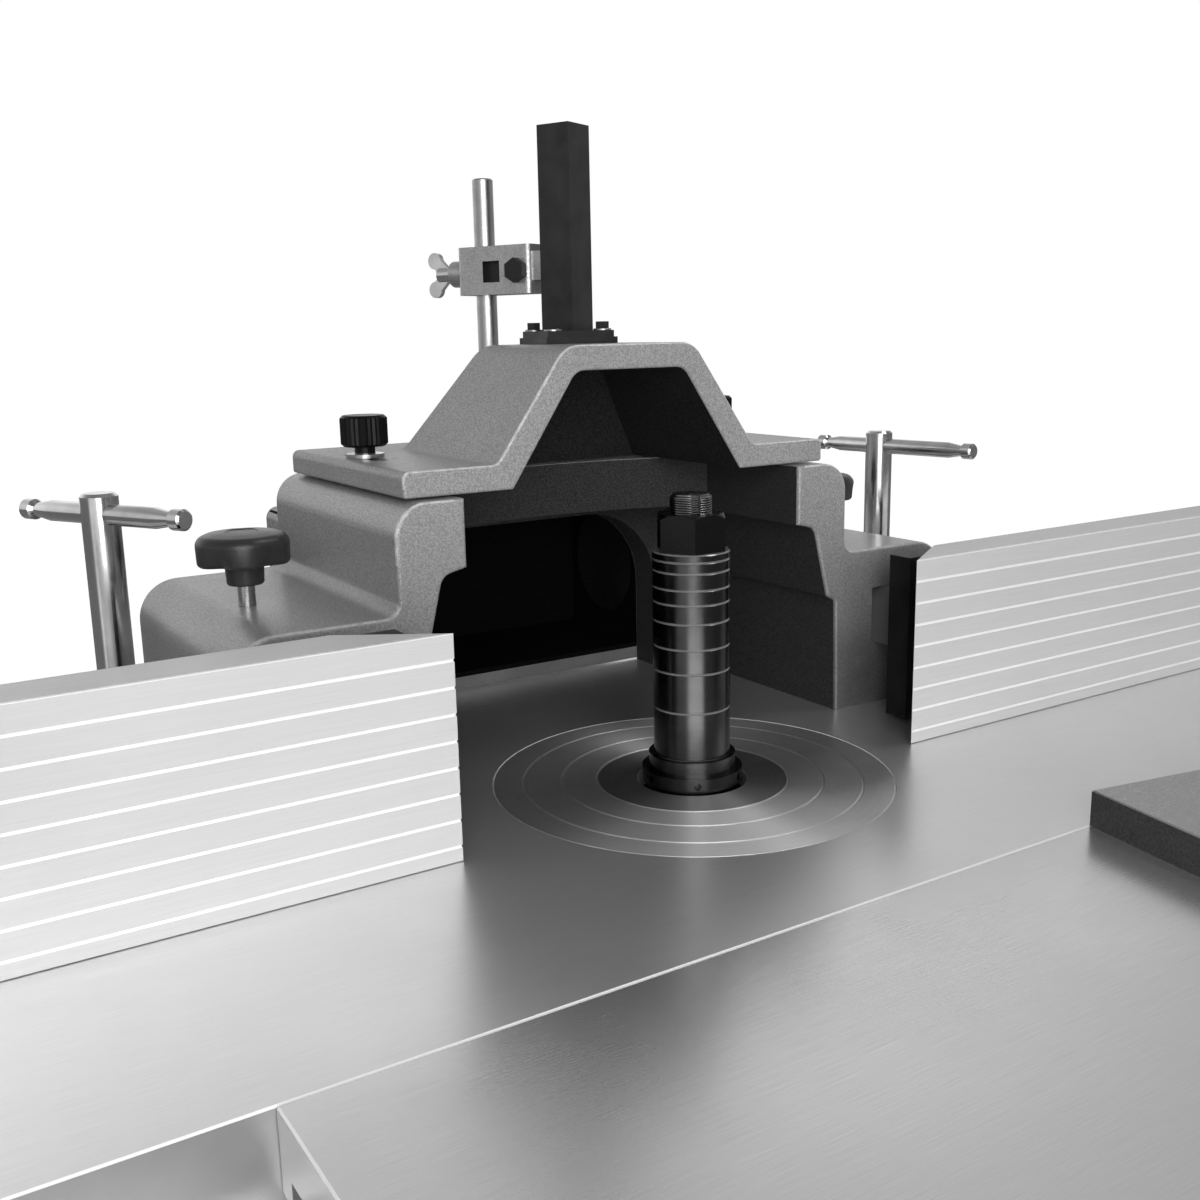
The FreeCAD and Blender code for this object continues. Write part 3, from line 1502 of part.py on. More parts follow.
def make_guide_rods():
    """Round rods, each on a narrow support strip that stands on the rail beam."""
    rods = []
    end = rail_end()
    for y in rod_rows():
        rod = bar(guide_rod_radius, Vector(-end, y, guide_rod_z), Vector(end, y, guide_rod_z))
        strip = block(-end, end, y - support_width / 2, y + support_width / 2, rail_top, guide_rod_z)
        rods.append(joined(rod, strip))
    return Part.makeCompound(rods)


def make_slide_rail():
    rows = rod_rows()
    back, front = rows[0] + guide_rod_radius * 2, rows[1] - guide_rod_radius * 2
    end = rail_end()
    beam = along(rectangle(front, back, rail_bottom, rail_top, rail_wall), -end, end)
    beam = beam.cut(along(
        rectangle(front + rail_wall, back - rail_wall, rail_bottom + rail_wall, rail_top - rail_wall),
        -end - overrun, end + overrun))
    hangers = []
    for side in (-1, 1):
        x = side * rail_hang_x
        hangers.append(block(x - rail_hang_width / 2, x + rail_hang_width / 2, back - rail_wall, table_front,
                             rail_bottom, rail_bottom + rail_hang_thick))
        hangers.append(block(x - rail_hang_width / 2, x + rail_hang_width / 2, table_front - rail_hang_thick,
                             table_front, rail_bottom, rail_hang_top))
    return joined(beam, *hangers)


def mitre_pivot():
    """Pivot of the mitre plate, at the middle of its length and width."""
    turn = math.radians(mitre_angle)
    u, v = mitre_length / 2, -mitre_width / 2
    return (mitre_corner_x + u * math.cos(turn) - v * math.sin(turn),
            mitre_corner_y + u * math.sin(turn) + v * math.cos(turn))


def make_mitre_plate():
    low = sliding_proud
    x0, y0 = mitre_corner_x, mitre_corner_y
    plate = block(x0, x0 + mitre_length, y0 - mitre_width, y0, low, low + mitre_thick)
    upper = edges_where(plate, lambda b: abs(b.ZMin - low - mitre_thick) < run_gap)
    plate = plate.makeChamfer(mitre_edge_chamfer, upper)
    middle = y0 - mitre_width / 2
    slots = []
    for side in (-1, 1):
        centre = x0 + mitre_length / 2 + side * mitre_length / 4
        slots.append(upward(rectangle(
            centre - mitre_slot_reach / 2, centre + mitre_slot_reach / 2, middle - mitre_slot_radius,
            middle + mitre_slot_radius, mitre_slot_radius - run_gap),
            low - overrun, low + mitre_thick + overrun))
    plate = turned_copy(plate.cut(Part.makeCompound(slots)), mitre_angle, x0, y0)
    x, y = mitre_pivot()
    pin = upright(mitre_pivot_radius, x, y, low - sliding_thick, low)
    return joined(plate, pin)


def make_motor_shaft():
    return upright(motor_shaft_radius, 0, motor_y, pulley_bottom(), motor_floor() + motor_bearing_depth)


def every_piece():
    """All pieces by name, still measured from the table surface."""
    pieces = {
        "cabinet": make_cabinet(),
        "cabinet_door": make_door(),
        "table": make_table(),
        "table_ring_outer": make_ring(ring_outer_radius, ring_large_radius, True),
        "table_ring_large": make_ring(ring_large_radius, ring_small_radius, True),
        "table_ring_small": make_ring(ring_small_radius, ring_inner_radius, True),
        "table_ring_inner": make_ring(ring_inner_radius, ring_hole_radius, False),
        "slide_rail": make_slide_rail(),
        "guide_rods": make_guide_rods(),
        "spindle_frame": make_yoke(),
        "guide_columns": make_columns(),
        "switch_box": make_switch_box(),
        "start_button": make_button(button_radius, button_heights()[0]),
        "stop_button": make_button(stop_radius, button_heights()[1]),
        "handwheel_bush": make_bush(),
        "carriage": make_carriage(),
        "spindle_housing": make_housing(),
        "spindle_bearings": make_bearings(),
        "lead_nut": make_lead_nut(),
        "motor_plate": make_motor_plate(),
        "motor_housing": make_motor(),
        "motor_fan_cover": make_fan_cover(),
        "drive_belt": make_belt(),
        "spindle_shaft": make_spindle_shaft(),
        "spacer_collars": make_collars(),
        "spindle_nut": make_nut(),
        "spindle_pulley": make_pulley(
            0, pulley_bore_radius + run_gap, spindle_step_low, spindle_step_mid,
            spindle_step_high),
        "motor_shaft": make_motor_shaft(),
        "motor_pulley": make_pulley(
            motor_y, motor_shaft_radius + run_gap, motor_step_low, motor_step_mid,
            motor_step_high),
        "lead_screw": make_lead_screw(),
        "screw_gear": make_screw_gear(),
        "handwheel_shaft": make_wheel_shaft(),
        "shaft_gear": make_shaft_gear(),
        "handwheel": make_handwheel(),
        "handwheel_grip": make_grip(),
        "hood_body": make_hood(),
        "dust_chute": make_chute(),
        "hood_cover": make_cover(),
        "holddown_post": make_post(),
        "post_bolts": make_post_bolts(),
        "holddown_clamp": make_holddown_clamp(),
        "holddown_rod": make_rod(),
        "wing_bolt": make_wing_bolt(),
        "sliding_table": make_sliding_table(),
        "bearing_blocks": make_bearing_blocks(),
        "mitre_plate": make_mitre_plate(),
    }
    post = make_clamp_post()
    star = make_star_knob()
    carrier = make_carrier()
    bolts = make_fence_bolts()
    knob = make_cover_knob()
    pieces["clamp_post_right"] = turned_copy(post, clamp_angle_right, clamp_x, clamp_y)
    pieces["clamp_bar_right"] = turned_copy(
        make_clamp_bar(clamp_shift_right), clamp_angle_right, clamp_x, clamp_y)
    pieces["clamp_post_left"] = turned_copy(flipped(post), clamp_angle_left, -clamp_x, clamp_y)
    pieces["clamp_bar_left"] = turned_copy(flipped(make_clamp_bar(0)), clamp_angle_left, -clamp_x, clamp_y)
    for name, shape in (("star_knob", star), ("fence_carrier", carrier), ("fence_bolts", bolts),
                        ("cover_knob", knob)):
        pieces[name + "_right"] = shape
        pieces[name + "_left"] = flipped(shape)
    pieces["fence_plate_right"] = make_fence_plate(fence_right_nose)
    pieces["fence_plate_left"] = flipped(make_fence_plate(fence_left_nose))
    return pieces


os.makedirs("parts", exist_ok=True)
for name, shape in every_piece().items():
    shape.translate(Vector(0, 0, table_height))
    shape.exportStep("parts/" + name + ".step")
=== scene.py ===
import bmesh
import bpy
import math
from mathutils import Matrix, Vector


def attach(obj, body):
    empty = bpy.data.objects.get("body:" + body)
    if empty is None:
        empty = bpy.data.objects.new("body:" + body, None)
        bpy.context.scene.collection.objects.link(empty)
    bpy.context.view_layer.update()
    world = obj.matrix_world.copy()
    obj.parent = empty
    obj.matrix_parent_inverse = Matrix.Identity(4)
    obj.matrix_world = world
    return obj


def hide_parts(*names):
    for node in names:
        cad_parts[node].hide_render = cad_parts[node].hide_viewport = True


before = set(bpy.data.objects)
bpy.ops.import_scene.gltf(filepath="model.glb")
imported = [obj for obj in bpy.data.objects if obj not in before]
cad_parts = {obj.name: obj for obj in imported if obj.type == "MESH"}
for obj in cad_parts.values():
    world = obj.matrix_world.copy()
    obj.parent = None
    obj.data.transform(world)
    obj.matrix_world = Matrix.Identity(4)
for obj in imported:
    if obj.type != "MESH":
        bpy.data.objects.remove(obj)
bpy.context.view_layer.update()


# Cabinet and door: the stand is folded from steel sheet on a flat base frame, with a lift-off door at its
# right side, stiffened by a pressed bead, and a pressed lip over each vent at its back. It is sprayed with
# a grey hammered enamel, a silver paint that dries into small pits and crowns.


class Wire:
    """A shader socket. Sums, differences, products and comparisons of wires become Math nodes."""

    def __init__(self, tree, socket):
        self.tree = tree
        self.socket = socket

    def node(self, kind, settings, links, output=0):
        """Any node: its settings first, then the values or wires of its sockets."""
        made = self.tree.nodes.new(kind)
        for key, value in settings.items():
            setattr(made, key, value)
        for key, value in links.items():
            if isinstance(value, Wire):
                self.tree.links.new(value.socket, made.inputs[key])
            else:
                made.inputs[key].default_value = value
        return Wire(self.tree, made.outputs[output])

    def feed(self, shader, name):
        self.tree.links.new(self.socket, shader.inputs[name])

    def maths(self, operation, first, second=0.0):
        return self.node("ShaderNodeMath", {"operation": operation}, {0: first, 1: second})

    def vector(self, operation, other, output="Vector"):
        return self.node("ShaderNodeVectorMath", {"operation": operation}, {0: self, 1: other}, output)

    def __add__(self, other):
        return self.maths("ADD", self, other)

    def __sub__(self, other):
        return self.maths("SUBTRACT", self, other)

    def __rsub__(self, other):
        return self.maths("SUBTRACT", other, self)

    def __mul__(self, other):
        return self.maths("MULTIPLY", self, other)

    def __rmul__(self, other):
        return self.maths("MULTIPLY", other, self)

    def __gt__(self, other):
        return self.maths("GREATER_THAN", self, other)

    def __lt__(self, other):
        return self.maths("LESS_THAN", self, other)


def new_finish(name, **sockets):
    """A material with its fixed values on the shader, and its object coordinates as a wire."""
    material = bpy.data.materials.new(name)
    material.use_nodes = True
    tree = material.node_tree
    shader = tree.nodes["Principled BSDF"]
    for key, value in sockets.items():
        shader.inputs[key.replace("_", " ")].default_value = value
    return material, shader, Wire(tree, tree.nodes.new("ShaderNodeTexCoord").outputs["Object"])


def noise(spot, scale, detail=2.0):
    return spot.node("ShaderNodeTexNoise", {}, {"Vector": spot, "Scale": scale, "Detail": detail}, "Fac")


def between(factor, low, high, start=0.3, end=0.7):
    """A wire that runs from low to high as the factor, most often a noise, runs from start to end."""
    return factor.node("ShaderNodeMapRange", {}, {0: factor, 1: start, 2: end, 3: low, 4: high})


def blend(factor, first, second):
    """The first colour where the factor is 0 and the second where it is 1."""
    return factor.node("ShaderNodeMix", {"data_type": "RGBA"}, {0: factor, 6: first, 7: second}, 2)


def bump(height, shader, distance, strength=1.0):
    links = {"Height": height, "Distance": distance, "Strength": strength}
    height.node("ShaderNodeBump", {}, links, "Normal").feed(shader, "Normal")


def grey(value):
    return (value, value, value, 1.0)


def dress(material, *nodes):
    """Give a finish to pieces that come from the frame."""
    for node in nodes:
        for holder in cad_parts[node].material_slots:
            holder.material = material


def axes_of(spot):
    """The three object coordinates as wires."""
    return [spot.node("ShaderNodeSeparateXYZ", {}, {0: spot}, axis) for axis in "XYZ"]


def hammered_enamel(name, pale, dark, cells, inside=None, inside_shade_tone=0.0, foot_shade=None,
                    gloss=0.5, coat=0.3, edge_highlight=None):
    """Hammered enamel. Where the inside mask is 1 it is painted nearly black as painted shade; where the
    mask along a rounded edge is 1 it is painted pale as a painted highlight; and where the mask at the foot
    is 1 it is painted darker as painted shade."""
    material, shader, spot = new_finish(name, Coat_Weight=coat, Coat_Roughness=0.2, Specular_IOR_Level=gloss)
    links = {"Vector": spot, "Scale": cells, "Smoothness": 0.4}
    cell = spot.node("ShaderNodeTexVoronoi", {"feature": "SMOOTH_F1"}, links, "Distance")
    pits = noise(spot, cells * 1.7, 2.0)
    cloud = noise(spot, 14.0, 3.0)
    shade = between(pits * 0.8 + cell * 0.35, 0.0, 1.0, 0.42, 0.68)
    colour = blend(shade, pale, dark)
    colour = blend(between(cloud, 0.0, 0.25), colour, dark)
    metal = between(shade, 0.2, 0.05, 0.0, 1.0)
    rough = between(pits, 0.3, 0.44)
    # Painted highlight: pale paint along a rounded edge, where that mask is 1.
    if edge_highlight is not None:
        colour = blend(edge_highlight(spot), colour, grey(0.8))
    # Painted shade: darker, less metallic paint towards the foot, where that mask is 1.
    if foot_shade is not None:
        foot_shade_mask = foot_shade(spot)
        colour = blend(foot_shade_mask, colour, grey(0.02))
        metal = metal * (1.0 - foot_shade_mask)
    # Painted shade: where the inside mask is 1 the enamel is painted nearly black, dull and without coat.
    if inside is not None:
        inside_shade = blend(shade, grey(inside_shade_tone * 1.6), grey(inside_shade_tone * 0.5))
        shaded_inside = inside(spot)
        colour = blend(shaded_inside, colour, inside_shade)
        metal = metal * (1.0 - shaded_inside)
        rough = rough + shaded_inside * 0.4
        (coat * (1.0 - shaded_inside)).feed(shader, "Coat Weight")
    colour.feed(shader, "Base Color")
    metal.feed(shader, "Metallic")
    rough.feed(shader, "Roughness")
    bump(cell * 0.7 + pits * 0.6, shader, 0.0004, 0.6)
    return material


def new_piece(name, work, material, body):
    """Turn a finished bmesh into an object that rides on a body, smooth between its sharp edges."""
    bmesh.ops.recalc_face_normals(work, faces=work.faces)
    for face in work.faces:
        face.smooth = True
    mesh = bpy.data.meshes.new(name)
    work.to_mesh(mesh)
    work.free()
    mesh.set_sharp_from_angle(angle=math.radians(32))
    mesh.materials.append(material)
    piece = bpy.data.objects.new(name, mesh)
    bpy.context.collection.objects.link(piece)
    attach(piece, body)
    return piece


def skin(work, rows, closed):
    """Faces between neighbouring rows of points; a closed skin also joins the last row to the first."""
    made = [[work.verts.new(point) for point in row] for row in rows]
    pairs = list(zip(made, made[1:] + made[:1])) if closed else list(zip(made, made[1:]))
    for near, far in pairs:
        for k in range(len(near) - 1):
            work.faces.new((near[k], near[k + 1], far[k + 1], far[k]))


cabinet_enamel = hammered_enamel("cabinet_enamel", grey(0.54), grey(0.32), 420.0)
dress(cabinet_enamel, "cabinet", "cabinet_door", "slide_rail")

# The bead of the door: a low half-round ridge that runs as a rounded rectangle.
door_face = 0.313
bead_half, bead_rise, bead_sink = 0.007, 0.0022, 0.0004
bead_front, bead_back, bead_low, bead_high = -0.055, 0.205, 0.125, 0.615
bead_corner, bead_steps = 0.03, 8
bead_shares = (-1.0, -0.6, -0.2, 0.2, 0.6, 1.0)
bead = bmesh.new()
bead_rows = []
for corner, (y, z) in enumerate(((bead_back, bead_high), (bead_front, bead_high),
                                 (bead_front, bead_low), (bead_back, bead_low))):
    side_y = 1 if y == bead_back else -1
    side_z = 1 if z == bead_high else -1
    middle = Vector((0, y - side_y * bead_corner, z - side_z * bead_corner))
    for step in range(bead_steps + 1):
        angle = (corner + step / bead_steps) * math.pi / 2
        way = Vector((0, math.cos(angle), math.sin(angle)))
        row = []
        for share in bead_shares:
            rise = bead_rise * math.cos(share * math.pi / 2) - bead_sink
            row.append(middle + way * (bead_corner + share * bead_half) + Vector((door_face + rise, 0, 0)))
        bead_rows.append(row)
skin(bead, bead_rows, True)
new_piece("door_bead", bead, cabinet_enamel, "door")

# The lips of the vents: each is a shallow hood that grows out of the sheet and opens downward.
vent_count, vent_pitch, vent_top = 8, 0.024, 0.680
vent_half, vent_depth, vent_rise, vent_drop = 0.092, 0.008, 0.010, 0.005
vent_end, vent_sheet, vent_steps = 0.016, 0.0012, 6
vent_shares = (-1.0, -0.97, -0.92, -0.85, -0.5, 0.0, 0.5, 0.85, 0.92, 0.97, 1.0)
back_face = 0.320
lips = bmesh.new()
for k in range(vent_count):
    low = vent_top - k * vent_pitch - vent_drop
    rows = []
    for share in vent_shares:
        over = max(0.0, (abs(share) * vent_half - vent_half + vent_end) / vent_end)
        swell = math.sqrt(max(0.0, 1.0 - over * over))
        row = []
        for step in range(vent_steps + 1):
            angle = step / vent_steps * math.pi / 2
            row.append(Vector((share * vent_half, back_face + vent_depth * swell * math.sin(angle),
                               low + (vent_rise + vent_drop) * swell * math.cos(angle))))
        rows.append(row)
    skin(lips, rows, False)
bmesh.ops.solidify(lips, geom=lips.faces[:], thickness=vent_sheet)
new_piece("vent_lips", lips, cabinet_enamel, "machine")


# Switch: a moulded box is screwed to the cabinet's front, with a green start button over a red stop
# button. The case is textured black plastic, and the buttons are glossy. Four screws hold its lid.


def moulded_plastic(name, colour, roughness, grain=1400.0, depth=0.00012):
    """Moulded plastic or rubber, with a fine grain and paler where it is handled."""
    material, shader, spot = new_finish(name, Specular_IOR_Level=0.4)
    fine = noise(spot, grain, 3.0)
    worn = noise(spot, 40.0, 4.0)
    pale = tuple(min(1.0, c * 1.5 + 0.003) for c in colour[:3]) + (1.0,)
    blend(between(worn, 0.0, 0.6), colour, pale).feed(shader, "Base Color")
    between(fine * 0.5 + worn * 0.5, roughness - 0.06, roughness + 0.1).feed(shader, "Roughness")
    bump(fine, shader, depth)
    return material


dress(moulded_plastic("switch_case", grey(0.03), 0.5), "switch_box")
dress(moulded_plastic("start_green", (0.02, 0.30, 0.09, 1.0), 0.28), "start_button")
dress(moulded_plastic("stop_red", (0.55, 0.025, 0.02, 1.0), 0.28), "stop_button")


def lathe_lines(spot, centre, axis, lines):
    """Noise in fine rings about an axis, as a turning tool leaves them."""
    arm = spot.vector("SUBTRACT", centre)
    flat = tuple(1.0 - abs(a) for a in axis)
    radius = arm.vector("MULTIPLY", flat).vector("LENGTH", flat, "Value")
    height = arm.vector("DOT_PRODUCT", axis, "Value")
    links = {"W": radius + height, "Scale": lines, "Detail": 3.0}
    return spot.node("ShaderNodeTexNoise", {"noise_dimensions": "1D"}, links, "Fac")


def turned_metal(name, colour, roughness, centre=(0, 0, 0), axis=(0, 0, 1), lines=2600.0, depth=0.00004):
    """Bright metal with turning marks, a little handling haze and a slight tint change."""
    material, shader, spot = new_finish(name, Metallic=1.0)
    rings = lathe_lines(spot, centre, axis, lines)
    haze = noise(spot, 55.0, 4.0)
    deep = tuple(c * 0.62 for c in colour[:3]) + (1.0,)
    blend(between(rings * 0.6 + haze * 0.4, 0.0, 0.8), colour, deep).feed(shader, "Base Color")
    between(rings * 0.5 + haze * 0.5, roughness, roughness + 0.16).feed(shader, "Roughness")
    bump(rings, shader, depth, 0.5)
    return material


def spun(work, profile, place, axis, steps):
    """Turn a profile of radii and heights about an axis through a place, and close its poles."""
    axis, place = Vector(axis), Vector(place)
    arm = axis.orthogonal().normalized()
    points = [work.verts.new(place + arm * radius + axis * height) for radius, height in profile]
    edges = [work.edges.new(pair) for pair in zip(points, points[1:])]
    bmesh.ops.spin(work, geom=points + edges, cent=place, axis=axis, angle=2 * math.pi,
                   steps=steps, use_merge=True)
    poles = [point for point in work.verts if (point.co - place).cross(axis).length < 1e-7]
    bmesh.ops.remove_doubles(work, verts=poles, dist=1e-6)


screw_zinc = turned_metal("screw_zinc", grey(0.5), 0.26)
lid_face = -0.243
screw_head, screw_rise, socket_radius, socket_depth = 0.0045, 0.0022, 0.0022, 0.0014
screw_sides, screw_heights, screw_sink = (-0.258, -0.192), (0.502, 0.618), 0.0005
screws = bmesh.new()
for x in screw_sides:
    for z in screw_heights:
        spun(screws, ((screw_head, -screw_sink), (screw_head, screw_rise * 0.5),
                      (screw_head * 0.86, screw_rise), (socket_radius, screw_rise),
                      (socket_radius, screw_rise - socket_depth), (0.0, screw_rise - socket_depth)),
             (x, lid_face, z), (0, -1, 0), 20)
new_piece("lid_screws", screws, screw_zinc, "machine")


# Rise and fall: two ground columns under the table carry the cast carriage. A screw lifts it, turned
# through a pair of bevel gears from the handwheel at the front. A yoke ties the columns together below, and
# a domed nut with a washer holds the handwheel on its shaft.


def cast_iron(name, colour, roughness=0.6):
    """Painted casting, with the grain of the sand mould showing through."""
    material, shader, spot = new_finish(name, Metallic=0.1)
    sand = noise(spot, 420.0, 3.0)
    patch = noise(spot, 18.0, 3.0)
    deep = tuple(c * 0.6 for c in colour[:3]) + (1.0,)
    blend(between(sand * 0.5 + patch * 0.5, 0.0, 1.0), colour, deep).feed(shader, "Base Color")
    between(sand, roughness - 0.1, roughness + 0.1).feed(shader, "Roughness")
    bump(sand + patch * 0.5, shader, 0.0005, 0.6)
    return material


dress(cast_iron("frame_iron", (0.16, 0.18, 0.19, 1.0)), "carriage", "spindle_housing", "spindle_frame",
      "motor_plate")
dress(turned_metal("column_steel", grey(0.6), 0.2), "guide_columns", "spindle_bearings")
dress(turned_metal("screw_steel", grey(0.45), 0.28, (0, -0.1, 0), lines=900.0), "lead_screw", "screw_gear")
dress(turned_metal("nut_bronze", (0.62, 0.40, 0.15, 1.0), 0.3, (0, -0.1, 0)), "lead_nut")
shaft_line = (0, 0, 0.354)
wheel_steel = turned_metal("wheel_shaft_steel", grey(0.5), 0.25, shaft_line, (0, 1, 0))
dress(wheel_steel, "handwheel_shaft", "shaft_gear")
dress(turned_metal("bush_bronze", (0.6, 0.42, 0.17, 1.0), 0.3, shaft_line, (0, 1, 0)), "handwheel_bush")
dress(cast_iron("wheel_iron", grey(0.16), 0.45), "handwheel")
dress(moulded_plastic("grip_black", grey(0.018), 0.35), "handwheel_grip")

hub_face, hub_way = (0, -0.249, 0.354), (0, -1, 0)
cap_flat, cap_hex, cap_dome, dome_lift, dome_steps = 0.0085, 0.007, 0.013, 0.0006, 8
washer_radius, washer_thick, washer_sink = 0.014, 0.002, 0.0003
cap_corner, hex_top = cap_flat / math.cos(math.pi / 6), washer_thick + cap_hex
cap = bmesh.new()
spun(cap, ((washer_radius, -washer_sink), (washer_radius, washer_thick * 0.7),
           (washer_radius - washer_thick * 0.3, washer_thick), (cap_flat, washer_thick)),
     hub_face, hub_way, 32)
spun(cap, ((cap_corner, washer_thick), (cap_corner, hex_top)), hub_face, hub_way, 6)
dome = [(cap_corner, hex_top)]
for step in range(dome_steps + 1):
    angle = step / dome_steps * math.pi / 2
    dome.append((cap_flat * 0.94 * (math.cos(angle) if step < dome_steps else 0.0),
                 hex_top + dome_lift + (cap_dome - cap_hex) * math.sin(angle)))
spun(cap, dome, hub_face, hub_way, 30)
new_piece("wheel_cap_nut", cap, wheel_steel, "wheel")


# Motor and belt drive: the motor hangs behind the spindle on the carriage's plate, with a ribbed body and
# a slotted fan cover. A flat ribbed belt runs from its three-step pulley to the spindle's.
dress(cast_iron("motor_enamel", (0.07, 0.13, 0.19, 1.0), 0.45), "motor_housing", "motor_fan_cover")
dress(turned_metal("rotor_steel", grey(0.5), 0.25, (0, 0.195, 0)), "motor_shaft")
dress(turned_metal("motor_pulley_alloy", grey(0.58), 0.3, (0, 0.195, 0)), "motor_pulley")
dress(turned_metal("spindle_pulley_alloy", grey(0.58), 0.3), "spindle_pulley")
dress(moulded_plastic("belt_rubber", grey(0.012), 0.7, 700.0, 0.0004), "drive_belt")


# Table and rings: the table is a ribbed iron casting, ground flat on top, with its broken edges painted pale
# as a painted highlight. Four nested rings close the opening round the spindle; each is faced on a lathe,
# has its broken edge painted pale as a painted highlight and sits in the step of the next.
table_top, table_edge, table_face, ring_edge = 0.860, 0.001, 0.00005, 0.00012
grinding = (35.0, 2600.0, 35.0)


def ground_metal(name, colour, roughness, along, metal=0.88, edge_low=None):
    """A ground surface: long fine grinding streaks, and faint clouds where hands have been.
    Between the edge's foot, if one is given, and the table's top it is painted pale and not metallic, a
    painted highlight along the broken edge."""
    material, shader, spot = new_finish(name, Metallic=metal)
    streak = noise(spot.vector("MULTIPLY", along), 1.0, 4.0)
    cloud = noise(spot, 7.0, 4.0)
    deep = tuple(c * 0.82 for c in colour[:3]) + (1.0,)
    face = blend(between(streak * 0.65 + cloud * 0.35, 0.0, 0.7), colour, deep)
    # Painted highlight: the broken edge is painted pale.
    if edge_low is not None:
        height = axes_of(spot)[2]
        edge = (height > edge_low) * (height < table_top - table_face)
        face = blend(edge, face, grey(0.95))
        (metal * (1.0 - edge)).feed(shader, "Metallic")
    face.feed(shader, "Base Color")
    between(streak * 0.3 + cloud * 0.7, roughness - 0.04, roughness + 0.06).feed(shader, "Roughness")
    bump(streak, shader, 0.00002, 0.4)
    return material


def ring_finish(name, pale, deep, relief):
    """Faced steel: fine rings about the spindle, which spread light across them, and a pale line painted
    along each broken edge as a painted highlight."""
    material, shader, spot = new_finish(name, Metallic=0.9, Anisotropic=0.85, Anisotropic_Rotation=0.25)
    rings = lathe_lines(spot, (0, 0, 0), (0, 0, 1), 1500.0)
    haze = noise(spot, 40.0, 4.0)
    # Painted highlight: the broken edge below the top is painted pale.
    edge = axes_of(spot)[2] < table_top - ring_edge
    face = blend(between(rings * 0.6 + haze * 0.4, 0.0, 0.9), grey(pale), grey(deep))
    blend(edge, face, grey(0.8)).feed(shader, "Base Color")
    (between(rings * 0.5 + haze * 0.5, 0.36, 0.46) + edge * 0.1).feed(shader, "Roughness")
    bump(rings, shader, relief, 0.8)
    return material


dress(ground_metal("table_iron", grey(0.90), 0.31, grinding, 0.86, table_top - table_edge), "table")
dress(ring_finish("ring_steel", 0.94, 0.70, 0.0001), "table_ring_outer", "table_ring_large",
      "table_ring_small")
dress(ring_finish("ring_dark", 0.42, 0.26, 0.00008), "table_ring_inner")


# Sliding table: a light alloy table runs along the front on open bearing blocks and two hardened rods. The
# rods stand on a square beam that is bolted to the table's front. The mitre plate turns on a pin in its top.
dress(ground_metal("sliding_alloy", grey(0.82), 0.24, grinding), "sliding_table")
dress(turned_metal("rod_steel", grey(0.62), 0.16, (0, -0.33, table_top), (1, 0, 0), 500.0), "guide_rods")
dress(ground_metal("block_alloy", grey(0.5), 0.36, (300.0, 300.0, 900.0)), "bearing_blocks")
plate_ground = table_top + 0.0216


def mitre_finish():
    """Black enamel all round, with a ground top."""
    material, shader, spot = new_finish("mitre_black", Specular_IOR_Level=0.4)
    top = axes_of(spot)[2] > plate_ground
    streak = noise(spot.vector("MULTIPLY", (60, 1300, 60)), 1.0, 4.0)
    grain = noise(spot, 600.0, 2.0)
    bright = blend(between(streak, 0.0, 0.7), grey(0.46), grey(0.36))
    black = blend(between(grain, 0.0, 1.0), grey(0.055), grey(0.025))
    blend(top, black, bright).feed(shader, "Base Color")
    top.feed(shader, "Metallic")
    (between(grain, 0.36, 0.5) - top * 0.12).feed(shader, "Roughness")
    bump(grain * (1 - top) + streak * top, shader, 0.0001, 0.5)
    return material


dress(mitre_finish(), "mitre_plate")


# Spindle: the arbor stands through the rings, stacked with loose ground collars under one hexagon nut.
# All of it is dark, oiled steel that shows the room as soft upright bands. The arbor's end is threaded; the
# thread's crests and the collars' broken edges are painted pale as painted highlights.
thread_pitch, thread_low, collar_rim = 0.0015, table_top + 0.1755, 0.0249


def oiled_steel(name, tone, roughness, thread_from=None, rim=None):
    """Dark polished steel; above a height, if one is given, it carries a fine thread whose crests are
    painted pale as a painted highlight, and inside the radius of its rim, if one is given, it is painted
    paler and less metallic, a painted highlight on its broken edges."""
    material, shader, spot = new_finish(name, Metallic=1.0)
    rings = lathe_lines(spot, (0, 0, 0), (0, 0, 1), 2600.0)
    haze = noise(spot, 60.0, 4.0)
    colour = blend(between(rings * 0.5 + haze * 0.5, 0.0, 0.9), grey(tone), grey(tone * 0.5))
    relief = rings * 0.04
    if thread_from is not None:
        height = axes_of(spot)[2]
        wave = height.maths("SINE", height * (2 * math.pi / thread_pitch))
        threaded = height > thread_from
        relief = relief * (1.0 - threaded) + wave * threaded
        # Painted highlight: the thread's crests are painted pale.
        colour = blend(threaded * between(wave, 0.0, 0.8, -1.0, 1.0), colour, grey(0.4))
    if rim is not None:
        edge = spot.vector("MULTIPLY", (1, 1, 0)).vector("LENGTH", (0, 0, 0), "Value") < rim
        # Painted highlight: paler, less metallic paint inside the rim's radius.
        colour = blend(edge, colour, grey(0.24))
        (1.0 - edge * 0.6).feed(shader, "Metallic")
    colour.feed(shader, "Base Color")
    between(rings * 0.4 + haze * 0.6, roughness, roughness + 0.14).feed(shader, "Roughness")
    bump(relief, shader, 0.0006, 0.6)
    return material


dress(oiled_steel("arbor_steel", 0.13, 0.17, thread_low), "spindle_shaft")
dress(oiled_steel("collar_steel", 0.11, 0.15, None, collar_rim), "spacer_collars")
dress(oiled_steel("nut_steel", 0.06, 0.2), "spindle_nut")


